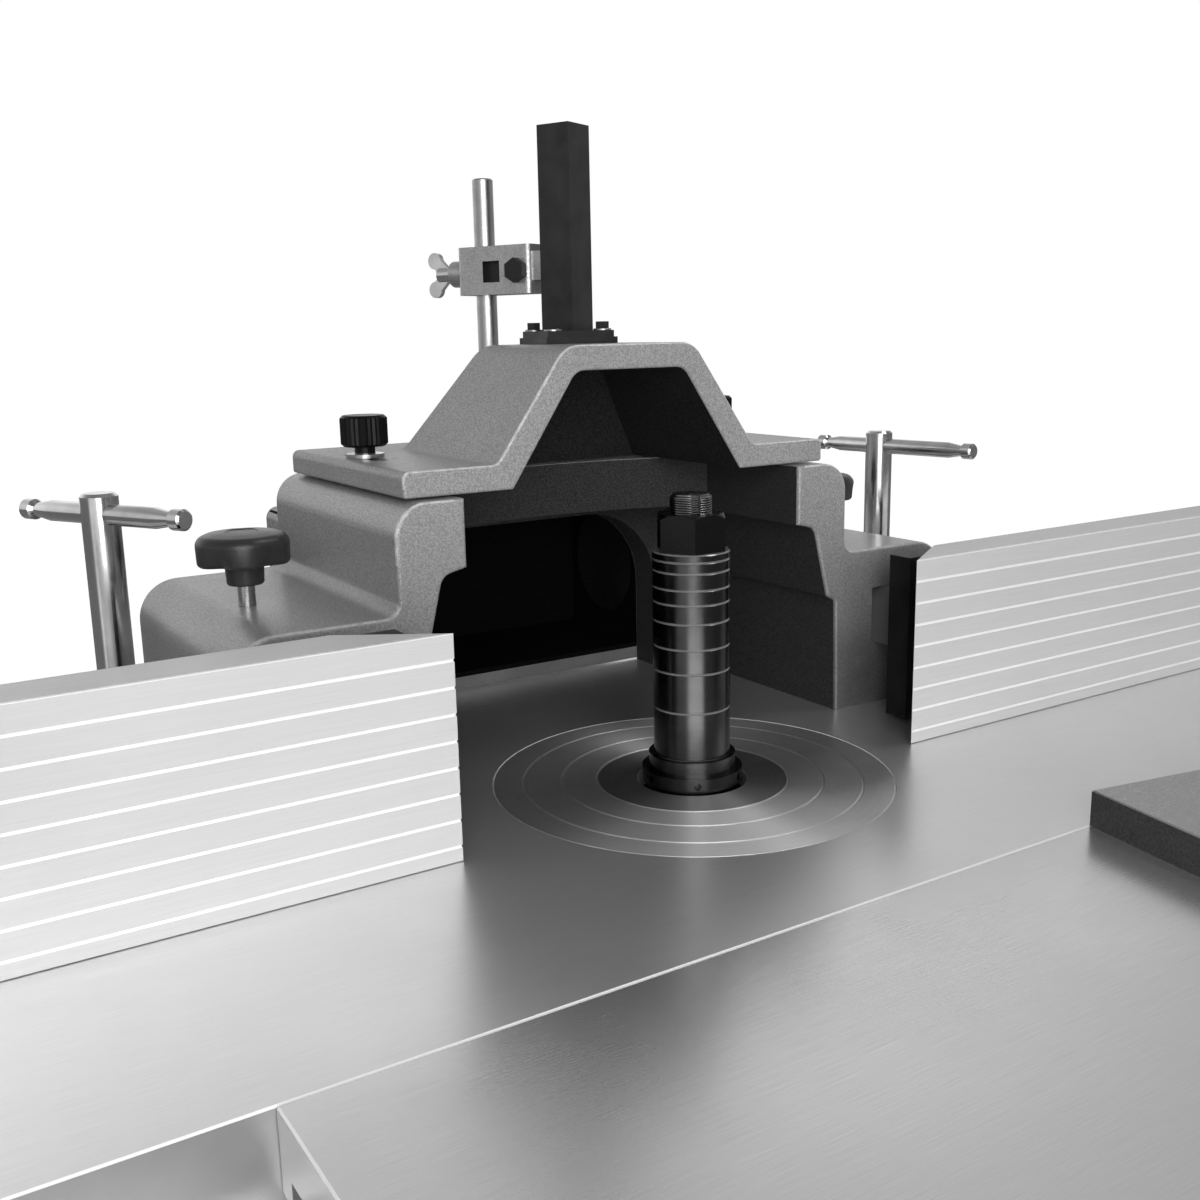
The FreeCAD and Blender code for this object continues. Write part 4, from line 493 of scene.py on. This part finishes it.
# Dust hood: one heavy casting, hammered grey outside, with its inside painted nearly black as painted shade.
# It stands on the table with a slotted lug at each end; its inner legs are painted darker towards the foot
# as painted shade, and its rounded front edge is painted pale as a painted highlight.
casting_shift, mouth_half, throat_half, throat_high = 0.003, 0.1362, 0.1768, table_top + 0.1495
inside_front, inside_back, inside_high = 0.0572, 0.2755, table_top + 0.1912


def hood_opening(x, z, margin=0.0):
    """1 within the outline of the throat and of the mouth above it, seen from the front."""
    offset = x.maths("ABSOLUTE", x - casting_shift)
    mouth = offset < mouth_half + margin
    return mouth.maths("MAXIMUM", mouth, (offset < throat_half + margin) * (z < throat_high + margin))


def hood_inside(spot):
    """1 on the walls of the throat and of the mouth above it, and 0 on the outside of the casting."""
    x, y, z = axes_of(spot)
    return hood_opening(x, z) * (y > inside_front) * (y < inside_back) * (z < inside_high)


chute_half, chute_rise, chute_back, chute_middle = 0.1478, 0.0678, 0.3938, table_top + 0.082
rim_half, rim_rise, rim_back = 0.1495, 0.0715, 0.2768
spigot_y, spigot_bore, spigot_start = 0.336, 0.0478, 0.14


def chute_inside(spot):
    """1 inside the box of the chute, on its front rim and inside the hose spigot at its right."""
    x, y, z = axes_of(spot)
    height = z - chute_middle
    width = x.maths("ABSOLUTE", x)
    drop = height.maths("ABSOLUTE", height)
    room = (width < chute_half) * (drop < chute_rise) * (y < chute_back)
    room = room.maths("MAXIMUM", room, (width < rim_half) * (drop < rim_rise) * (y < rim_back))
    arm = spot.vector("SUBTRACT", (0.0, spigot_y, chute_middle)).vector("MULTIPLY", (0, 1, 1))
    pipe = arm.vector("LENGTH", (0, 0, 0), "Value") < spigot_bore
    return room.maths("MAXIMUM", room, pipe * (x > spigot_start))


leg_shade_low, leg_shade_high, leg_inner, leg_outer = table_top + 0.015, table_top + 0.185, 0.262, 0.284


def leg_painted_shade(spot):
    """Painted shade: darker down the inner legs towards the table, and uneven."""
    x, y, z = axes_of(spot)
    down = between(z, 0.92, 0.0, leg_shade_low, leg_shade_high)
    near = between(x.maths("ABSOLUTE", x), 1.0, 0.0, leg_inner, leg_outer)
    return down * near * between(noise(spot, 30.0, 3.0), 0.8, 1.0)


edge_front, edge_back, edge_margin = 0.0549, 0.0571, 0.005


def hood_edge_highlight(spot):
    """Painted highlight: 1 along the rounded front edge of the casting's outline, uneven, and 0 along the
    throat.
    """
    x, y, z = axes_of(spot)
    band = (y > edge_front) * (y < edge_back) * (1.0 - hood_opening(x, z, edge_margin))
    return band * between(noise(spot, 260.0, 2.0), 0.3, 0.9)


# Painted shade inside and down the inner legs, and a painted highlight along the front edge.
dress(hammered_enamel("hood_enamel", grey(0.46), grey(0.26), 700.0, hood_inside, 0.022, leg_painted_shade,
                      edge_highlight=hood_edge_highlight), "hood_body")
# Painted shade: the inside of the chute is painted nearly black.
dress(hammered_enamel("chute_enamel", grey(0.50), grey(0.28), 420.0, chute_inside, 0.002, None, 0.1),
      "dust_chute")

# A rubber strip under the mouth of the chute keeps the chips from blowing out along the table, and it is put
# there to shade the table under the chute.
seal_half, seal_front, seal_thick, seal_low, seal_high = 0.146, 0.2765, 0.004, 0.0012, 0.0125
seal_round = 0.0008
seal_middle = Vector((0, seal_front + seal_thick / 2, table_top + (seal_low + seal_high) / 2))
seal = bmesh.new()
strip = bmesh.ops.create_cube(seal, size=1.0)["verts"]
bmesh.ops.scale(seal, verts=strip, vec=(2 * seal_half, seal_thick, seal_high - seal_low))
bmesh.ops.translate(seal, verts=strip, vec=seal_middle)
bmesh.ops.bevel(seal, geom=seal.edges[:], offset=seal_round, affect="EDGES", segments=2,
                profile=0.5, material=-1)
seal_grey = moulded_plastic("seal_grey", grey(0.14), 0.7, 700.0, 0.0003)
new_piece("chute_seal", seal, seal_grey, "hood")


# Cover: the plate over the cutter is cast with a raised middle, closed at its back. Two knurled knobs on
# studs hold it to the hood through slots, so that it can be drawn forward over a wide cutter.
cover_low, hollow_foot, hollow_slope, hollow_high = table_top + 0.193, 0.1034, 1.4416, table_top + 0.274
back_foot, back_lift, back_lean, hollow_front = 0.203, 0.0165, 0.3984, 0.0662


def cover_hollow(x, z, foot, high):
    """1 under the slopes and the crown of the raised middle, seen from the front."""
    width = x.maths("ABSOLUTE", x)
    return ((z - cover_low) < (foot - width) * hollow_slope) * (z < high)


def cover_inside(spot):
    """1 on the hollow side of the raised middle, up to the inside of its sloping back wall."""
    x, y, z = axes_of(spot)
    before = y < (back_foot - (z - (cover_low + back_lift)) * back_lean)
    return cover_hollow(x, z, hollow_foot, hollow_high) * before * (y > hollow_front)


rim_front, rim_end, rim_lift, rim_foot, rim_high = 0.0643, 0.0661, 0.006, 0.1094, table_top + 0.279


def cover_edge_highlight(spot):
    """Painted highlight: 1 along the rounded front edge of the cover's upper side, uneven, and 0 along its
    hollow.
    """
    x, y, z = axes_of(spot)
    upper = (1.0 - cover_hollow(x, z, rim_foot, rim_high)) * (z > cover_low + rim_lift)
    return (y > rim_front) * (y < rim_end) * upper * between(noise(spot, 260.0, 2.0), 0.3, 0.9)


# Painted shade on the hollow side of the cover, and a painted highlight along its front edge.
dress(hammered_enamel("cover_enamel", grey(0.48), grey(0.27), 700.0, cover_inside, 0.018, None, 0.15, 0.05,
                      cover_edge_highlight), "hood_cover")


def knob_finish(name, steel_below, tone, gloss):
    """Satin black moulding on a plated steel stem or washer."""
    material, shader, spot = new_finish(name, Specular_IOR_Level=gloss)
    steel = axes_of(spot)[2] < steel_below
    fine = noise(spot, 1400.0, 3.0)
    worn = noise(spot, 40.0, 4.0)
    black = blend(between(worn, 0.0, 0.6), grey(tone), grey(tone * 2.2))
    plate = blend(between(worn, 0.0, 1.0), grey(0.62), grey(0.42))
    blend(steel, black, plate).feed(shader, "Base Color")
    steel.feed(shader, "Metallic")
    (between(fine * 0.5 + worn * 0.5, 0.28, 0.42) - steel * 0.1).feed(shader, "Roughness")
    bump(fine * (1.0 - steel), shader, 0.00012)
    return material


washer_top = table_top + 0.2125
dress(knob_finish("cover_knob_black", washer_top, 0.002, 0.2), "cover_knob_left", "cover_knob_right")


# Hold-down: a black square post is bolted to the cover by its flange, with a washer under each bolt. A cast
# clamp rides in the post's slot and grips a plated rod with a thumb screw, for a foot that presses the work.
post_place = (0.0, 0.1465)


def blackened_steel(name, tone, roughness, cast_from=None):
    """Black finish on steel; behind a place, if one is given, it is the bare grey casting."""
    material, shader, spot = new_finish(name, Metallic=0.35)
    grain = noise(spot, 500.0, 3.0)
    rub = noise(spot, 60.0, 4.0)
    colour = blend(between(rub, 0.0, 0.9), grey(tone), grey(tone * 2.2))
    if cast_from is not None:
        colour = blend(axes_of(spot)[1] > cast_from, colour, grey(0.12))
    colour.feed(shader, "Base Color")
    between(grain * 0.5 + rub * 0.5, roughness - 0.08, roughness + 0.1).feed(shader, "Roughness")
    bump(grain, shader, 0.0001, 0.5)
    return material


post_black = blackened_steel("post_black", 0.014, 0.42)
dress(post_black, "holddown_post", "post_bolts")

flange_top = table_top + 0.2913
bolt_place, bolt_turn = 0.0187, math.radians(-8.6)
disc_outer, disc_inner, disc_thick = 0.0064, 0.0038, 0.0012
discs = bmesh.new()
for u in (-bolt_place, bolt_place):
    for v in (-bolt_place, bolt_place):
        place = (post_place[0] + u * math.cos(bolt_turn) - v * math.sin(bolt_turn),
                 post_place[1] + u * math.sin(bolt_turn) + v * math.cos(bolt_turn), flange_top)
        disc = ((disc_inner, 0.0), (disc_outer, 0.0), (disc_outer, disc_thick * 0.75),
                (disc_outer - disc_thick * 0.25, disc_thick), (disc_inner, disc_thick))
        spun(discs, disc, place, (0, 0, 1), 28)
new_piece("post_washers", discs, screw_zinc, "cover")


clamp_turn, bolt_face, recess_floor, recess_face = math.radians(25.0), -0.0143, -0.0085, -0.0139
recess_near, recess_far, recess_low, recess_high = 0.0480, 0.0640, table_top + 0.326, table_top + 0.342


def clamp_finish():
    """Bare cast alloy, with a blackened bolt head, and the recess in its near side painted nearly black as
    painted shade.
    """
    material, shader, spot = new_finish("clamp_cast")
    cosine, sine = math.cos(clamp_turn), math.sin(clamp_turn)
    arm = spot.vector("SUBTRACT", post_place + (0.0,))
    near = arm.vector("DOT_PRODUCT", (cosine, sine, 0.0), "Value")
    reach = arm.vector("DOT_PRODUCT", (-sine, cosine, 0.0), "Value")
    height = axes_of(spot)[2]
    bolt = near < bolt_face
    # Painted shade: the recess is painted nearly black.
    shaded_recess = (near > recess_face) * (near < recess_floor)
    shaded_recess = shaded_recess * (reach > recess_near) * (reach < recess_far)
    shaded_recess = shaded_recess * (height > recess_low) * (height < recess_high)
    dark = bolt.maths("MAXIMUM", bolt, shaded_recess)
    grain = noise(spot, 700.0, 3.0)
    patch = noise(spot, 90.0, 3.0)
    cast = blend(between(grain * 0.6 + patch * 0.4, 0.0, 1.0), grey(0.60), grey(0.36))
    blend(dark, cast, grey(0.012)).feed(shader, "Base Color")
    (0.85 - dark * 0.6).feed(shader, "Metallic")
    between(grain, 0.3, 0.46).feed(shader, "Roughness")
    bump(grain, shader, 0.00025, 0.7)
    return material


dress(clamp_finish(), "holddown_clamp")


def chrome(name, pale, deep, dullness):
    """Polished plate over turned steel: a mirror with faint haze and a few dull patches."""
    material, shader, spot = new_finish(name, Metallic=1.0)
    haze = noise(spot, 70.0, 4.0)
    dull = noise(spot, 18.0, 3.0)
    blend(between(haze * 0.6 + dull * 0.4, 0.0, 1.0), grey(pale), grey(deep)).feed(shader, "Base Color")
    between(haze, dullness, dullness + 0.1).feed(shader, "Roughness")
    bump(haze, shader, 0.00003, 0.4)
    return material


bright_chrome = chrome("bright_chrome", 0.82, 0.62, 0.12)
dress(bright_chrome, "wing_bolt")
dress(chrome("satin_plate", 0.52, 0.38, 0.3), "holddown_rod")


# Hood clamps: each lug is held to the table by a screw with a collar and a tall, chromed head, chamfered
# at its top. A loose bar slides through the head as its handle. It is turned from rod, and at each end it
# tapers to a neck and keeps a plain button, so that it can't fall out.
clamp_x, clamp_y = 0.324, 0.163
head_radius, head_top, head_chamfer = 0.0113, 0.201, 0.002
collar_radius, collar_low, collar_high, collar_edge = 0.019, 0.0243, 0.0303, 0.001
screw_radius, screw_end = 0.008, -0.030
bar_height, bar_radius, bar_button, bar_taper = 0.188, 0.0065, 0.010, 0.012
neck_radius, neck_length, button_round, bar_play = 0.0044, 0.0018, 0.0012, 0.0001
hole_radius = bar_radius + bar_play


def cross_drilled(blank, place, way):
    """The shape with a round hole through it, cut by a rod of the hole's size."""
    rod = bmesh.new()
    turn = way.to_track_quat("Z", "Y").to_matrix().to_4x4()
    bmesh.ops.create_cone(rod, cap_ends=True, segments=48, radius1=hole_radius, radius2=hole_radius,
                          depth=6 * head_radius, matrix=Matrix.Translation(place) @ turn)
    holders = []
    for name, work in (("blank", blank), ("drill", rod)):
        holder = bpy.data.objects.new(name, bpy.data.meshes.new(name))
        work.to_mesh(holder.data)
        work.free()
        bpy.context.collection.objects.link(holder)
        holders.append(holder)
    cut = holders[0].modifiers.new("hole", "BOOLEAN")
    cut.object = holders[1]
    bored = bmesh.new()
    bored.from_object(holders[0], bpy.context.evaluated_depsgraph_get())
    for holder in holders:
        bpy.data.objects.remove(holder)
    return bored


for hand, side, angle, half, shift in (("left", -1, -61.3, 0.0700, 0.002),
                                       ("right", 1, -81.5, 0.080, 0.015)):
    foot = Vector((side * clamp_x, clamp_y, table_top))
    way = Vector((math.cos(math.radians(angle)), math.sin(math.radians(angle)), 0.0))
    middle = foot + Vector((0, 0, bar_height))
    head = bmesh.new()
    spun(head, ((0.0, head_top), (head_radius - head_chamfer, head_top),
                (head_radius, head_top - head_chamfer), (head_radius, collar_high),
                (collar_radius - collar_edge, collar_high), (collar_radius, collar_high - collar_edge),
                (collar_radius, collar_low), (screw_radius, collar_low),
                (screw_radius, screw_end), (0.0, screw_end)), foot, (0, 0, 1), 64)
    post = new_piece("clamp_head_" + hand, cross_drilled(head, middle, way), bright_chrome,
                     "clamp_" + hand)
    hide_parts("clamp_post_" + hand)
    end = [(0.0, half), (bar_radius - button_round, half), (bar_radius, half - button_round),
           (bar_radius, half - bar_button + button_round), (bar_radius - button_round, half - bar_button),
           (neck_radius, half - bar_button), (neck_radius, half - bar_button - neck_length),
           (bar_radius, half - bar_button - neck_length - bar_taper)]
    bar = bmesh.new()
    spun(bar, end + [(radius, -height) for radius, height in reversed(end)], middle + way * shift, way, 48)
    handle = new_piece("clamp_handle_" + hand, bar, bright_chrome, "bar_" + hand)
    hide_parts("clamp_bar_" + hand)


# Fence: two carriers slide in the hood's pockets and are locked from above by moulded star knobs on steel
# stems. A hollow alloy fence hangs on each by T-bolts. Eight fine grooves run along its face, each with its
# floor painted nearly white as a painted highlight.
nose_start = 0.0202
dress(blackened_steel("carrier_black", 0.008, 0.5, nose_start), "fence_carrier_left", "fence_carrier_right")
dress(post_black, "fence_bolts_left", "fence_bolts_right")

star_x, star_y, star_radius = 0.243, 0.1495, 0.0295
star_low, star_high, star_round, star_edge = 0.150, 0.1698, 0.0065, 0.003
notch_depth, notch_top_share, notch_count = 0.0072, 0.15, 5
hub_radius, hub_low, hub_edge, stem_radius, stem_low = 0.0124, 0.137, 0.001, 0.0055, 0.0923
crown_steps = ((0.003, 0.0006), (0.004, 0.0005), (0.005, 0.0003), (0.0006, -0.0005))
stem_top = table_top + 0.1365
star_black = knob_finish("star_knob_black", stem_top, 0.018, 0.5)


def at_height(work, height):
    """Edges that lie flat at a height."""
    return [edge for edge in work.edges if all(abs(point.co.z - height) < 1e-6 for point in edge.verts)]


for hand, side, notch_turn in (("left", -1, 217.8), ("right", 1, -37.8)):
    middle = Vector((side * star_x, star_y, table_top))
    star = bmesh.new()
    bmesh.ops.create_cone(star, cap_ends=True, segments=120, radius1=star_radius, radius2=star_radius,
                          depth=star_high - star_low)
    for point in star.verts:
        around = math.atan2(point.co.y, point.co.x) - math.radians(notch_turn)
        bite = (0.5 + 0.5 * math.cos(notch_count * around)) ** 1.5
        bite *= notch_top_share if point.co.z > 0 else 1.0
        point.co.xy *= 1 - notch_depth / star_radius * bite
    half = (star_high - star_low) / 2
    for height, size, steps in ((half, star_round, 7), (-half, star_edge, 4)):
        bmesh.ops.bevel(star, geom=at_height(star, height), offset=size, affect="EDGES", segments=steps,
                        profile=0.5, material=-1)
    crown = max(star.faces, key=lambda face: face.calc_center_median().z)
    for inset, rise in crown_steps:
        bmesh.ops.inset_region(star, faces=[crown], thickness=inset)
        bmesh.ops.translate(star, verts=crown.verts, vec=(0, 0, rise))
    bmesh.ops.translate(star, verts=star.verts, vec=middle + Vector((0, 0, star_low + half)))
    spun(star, ((hub_radius, star_low + hub_edge), (hub_radius * 0.95, hub_low + hub_edge),
                (hub_radius * 0.88, hub_low), (0.0, hub_low)), middle, (0, 0, 1), 48)
    spun(star, ((stem_radius, hub_low), (stem_radius, stem_low), (0.0, stem_low)), middle, (0, 0, 1), 32)
    knob = new_piece("star_" + hand, star, star_black, "star_" + hand)
    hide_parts("star_knob_" + hand)


groove_count, groove_first, groove_pitch, groove_half, groove_depth = 8, 0.0092, 0.0154, 0.0008, 0.0012
fence_front, face_depth, groove_play = -0.037, 0.0025, 0.0001


def anodised(name):
    """Satin anodised extrusion, drawn along its length, with the grooves in its face painted nearly white as
    a painted highlight.
    """
    material, shader, spot = new_finish(name, Metallic=0.12)
    x, y, z = axes_of(spot)
    turns = (z - (table_top + groove_first)) * (1 / groove_pitch)
    off = (turns - turns.maths("ROUND", turns)) * groove_pitch
    # Painted highlight: the grooves are painted nearly white.
    groove_highlight = (off.maths("ABSOLUTE", off) < groove_half + groove_play) * (y < fence_front + face_depth)
    drawn = noise(spot.vector("MULTIPLY", (25, 900, 900)), 1.0, 4.0)
    cloud = noise(spot, 9.0, 3.0)
    satin = blend(between(drawn * 0.6 + cloud * 0.4, 0.0, 1.0), grey(0.70), grey(0.64))
    blend(groove_highlight, satin, grey(0.99)).feed(shader, "Base Color")
    (between(drawn, 0.36, 0.5) - groove_highlight * 0.1).feed(shader, "Roughness")
    bump(drawn, shader, 0.00002, 0.4)
    return material


fence_alloy = anodised("fence_alloy")
dress(fence_alloy, "fence_plate_left", "fence_plate_right")

# The floors of the grooves, painted nearly white as a painted highlight, end in the mitre at the fence's
# nose, as the fence does.
fence_length, mitre_slope, floor_sink = 0.420, 56.0 / 37.0, 0.0003
for hand, side, nose in (("left", -1, 0.187), ("right", 1, 0.165)):
    floors = bmesh.new()
    for k in range(groove_count):
        strip = bmesh.ops.create_cube(floors, size=1.0)["verts"]
        bmesh.ops.scale(floors, verts=strip, vec=(fence_length, groove_depth - floor_sink, 2 * groove_half))
        bmesh.ops.translate(floors, verts=strip, vec=(
            side * (nose + fence_length / 2), fence_front + (groove_depth + floor_sink) / 2,
            table_top + groove_first + k * groove_pitch))
        for point in strip:
            if abs(point.co.x) < nose + fence_length / 2:
                point.co.x += side * (point.co.y - fence_front) * mitre_slope
    new_piece("groove_floors_" + hand, floors, fence_alloy, "fence_" + hand)


# Floor, light and camera: a plain pale floor under a white surround. Two soft lamps stand near the
# camera, one of them hidden from metal, a small one over the machine, and two light its back and right
# side. The room behind the camera is dimmer than the backdrop, so bright metal has dark bands.
yaw, pitch, roll = (math.radians(a) for a in (32.12, 12.02, -1.17))
patch_way = (-0.777, -0.629, 0.0)


def backdrop(way):
    """1 where a direction points to the backdrop, and less to its right, above it and behind the camera."""
    facing = way.vector("DOT_PRODUCT", (math.sin(yaw), math.cos(yaw), 0.0), "Value")
    height = way.vector("DOT_PRODUCT", (0.0, 0.0, 1.0), "Value")
    smooth = {"interpolation_type": "SMOOTHSTEP"}
    front = facing.node("ShaderNodeMapRange", smooth, {0: facing, 1: -0.25, 2: 0.35, 3: 0.6, 4: 1.0})
    low = height.node("ShaderNodeMapRange", smooth, {0: height, 1: 0.34, 2: 0.75, 3: 1.0, 4: 0.35})
    across = way.vector("DOT_PRODUCT", (math.cos(yaw), -math.sin(yaw), 0.0), "Value")
    left = across.node("ShaderNodeMapRange", smooth, {0: across, 1: 0.1, 2: 0.6, 3: 1.0, 4: 0.4})
    return front * low * left


def bright_patch(way):
    """The floor as metal shows it: dim, with one glowing patch at the front left of the machine that stands
    in for a lamp.
    """
    leftward = way.vector("DOT_PRODUCT", patch_way, "Value")
    smooth = {"interpolation_type": "SMOOTHSTEP"}
    return way.node("ShaderNodeMapRange", smooth, {0: leftward, 1: 0.85, 2: 0.97, 3: 0.12, 4: 0.8})


def seen_share(tree, way, shown_in_metal):
    """Wires for the camera's view, for what shows in metal or through glass, and for the brightness: 1 in
    the first, and the share of its direction in the second."""
    path = Wire(tree, tree.nodes.new("ShaderNodeLightPath").outputs["Is Camera Ray"])
    glossy = Wire(tree, path.socket.node.outputs["Is Glossy Ray"])
    through = Wire(tree, path.socket.node.outputs["Is Transmission Ray"])
    other = path.maths("MINIMUM", glossy + through, 1.0)
    return path, other, path.maths("MINIMUM", path + other * shown_in_metal(way), 1.0)


world = bpy.data.worlds.new("studio")
bpy.context.scene.world = world
world.use_nodes = True
surround = world.node_tree.nodes["Background"]
surround.inputs["Color"].default_value = (1, 1, 1, 1)
ambient = 0.16
aim = Wire(world.node_tree, world.node_tree.nodes.new("ShaderNodeTexCoord").outputs["Generated"])
direct, mirrored, shown = seen_share(world.node_tree, aim, backdrop)
(shown + (1.0 - direct.maths("MINIMUM", direct + mirrored, 1.0)) * ambient).feed(surround, "Strength")

floor_half = 40.0
grid = bmesh.new()
bmesh.ops.create_grid(grid, x_segments=1, y_segments=1, size=floor_half)
floor_mesh = bpy.data.meshes.new("floor")
grid.to_mesh(floor_mesh)
grid.free()
floor = bpy.data.objects.new("floor", floor_mesh)
bpy.context.collection.objects.link(floor)
floor_paint, floor_shader, floor_spot = new_finish("floor_pale", Roughness=0.9)
floor_shader.inputs["Emission Color"].default_value = (1, 1, 1, 1)
floor_way = floor_spot.vector("NORMALIZE", (0, 0, 0))
in_metal, lit = seen_share(floor_paint.node_tree, floor_way, bright_patch)[1:]
reach = floor_spot.vector("LENGTH", (0, 0, 0), "Value")
# The floor glows for the camera: less near the machine, so that the lamps' shadow shows there, and white
# from a few metres out.
shadow_reach, white_from = 0.7, 2.8
(lit * between(reach, 0.45, 0.92, shadow_reach, white_from)).feed(floor_shader, "Emission Strength")
blend(in_metal, grey(0.7), grey(0.1)).feed(floor_shader, "Base Color")
floor_mesh.materials.append(floor_paint)


def soft_lamp(name, place, aim, size, power, mirrored=True):
    """A round lamp that faces its aim; one that isn't mirrored lights metal without showing in it."""
    lamp = bpy.data.lights.new(name, "AREA")
    lamp.shape = "DISK"
    lamp.size = size
    lamp.energy = power
    holder = bpy.data.objects.new(name, lamp)
    holder.location = place
    holder.rotation_euler = (Vector(aim) - Vector(place)).to_track_quat("-Z", "Y").to_euler()
    holder.visible_glossy = mirrored
    bpy.context.collection.objects.link(holder)


key_place, key_aim = (-0.66, -1.45, 1.42), (0, 0, 0.98)
soft_lamp("key", key_place, key_aim, 1.4, 19.0)
soft_lamp("fill", key_place, key_aim, 1.4, 11.5, False)
soft_lamp("top", (0.8, -0.25, 2.4), (0, 0.1, 1.1), 0.5, 4.0)
soft_lamp("back", (0.2, 2.8, 1.0), (0, 0.2, 0.7), 1.6, 60.0, False)
soft_lamp("right", (2.8, 0.2, 1.0), (0.2, 0.1, 0.7), 1.6, 40.0, False)

ahead = Vector((math.sin(yaw) * math.cos(pitch), math.cos(yaw) * math.cos(pitch), -math.sin(pitch)))
side = Vector((math.cos(yaw), -math.sin(yaw), 0.0))
above = side.cross(ahead)
right = math.cos(roll) * side + math.sin(roll) * above
up = math.cos(roll) * above - math.sin(roll) * side
lens = bpy.data.cameras.new("camera")
lens.sensor_fit = "HORIZONTAL"
lens.sensor_width = 36.0
lens.lens = 37.82
lens.clip_start = 0.01
lens.clip_end = 200.0
camera = bpy.data.objects.new("camera", lens)
turn = Matrix((right, up, -ahead)).transposed().to_4x4()
camera_place = (-0.4726, -0.6422, table_top + 0.2903)
camera.matrix_world = Matrix.Translation(camera_place) @ turn
bpy.context.collection.objects.link(camera)
bpy.context.scene.camera = camera
bpy.context.scene.view_settings.view_transform = "Standard"
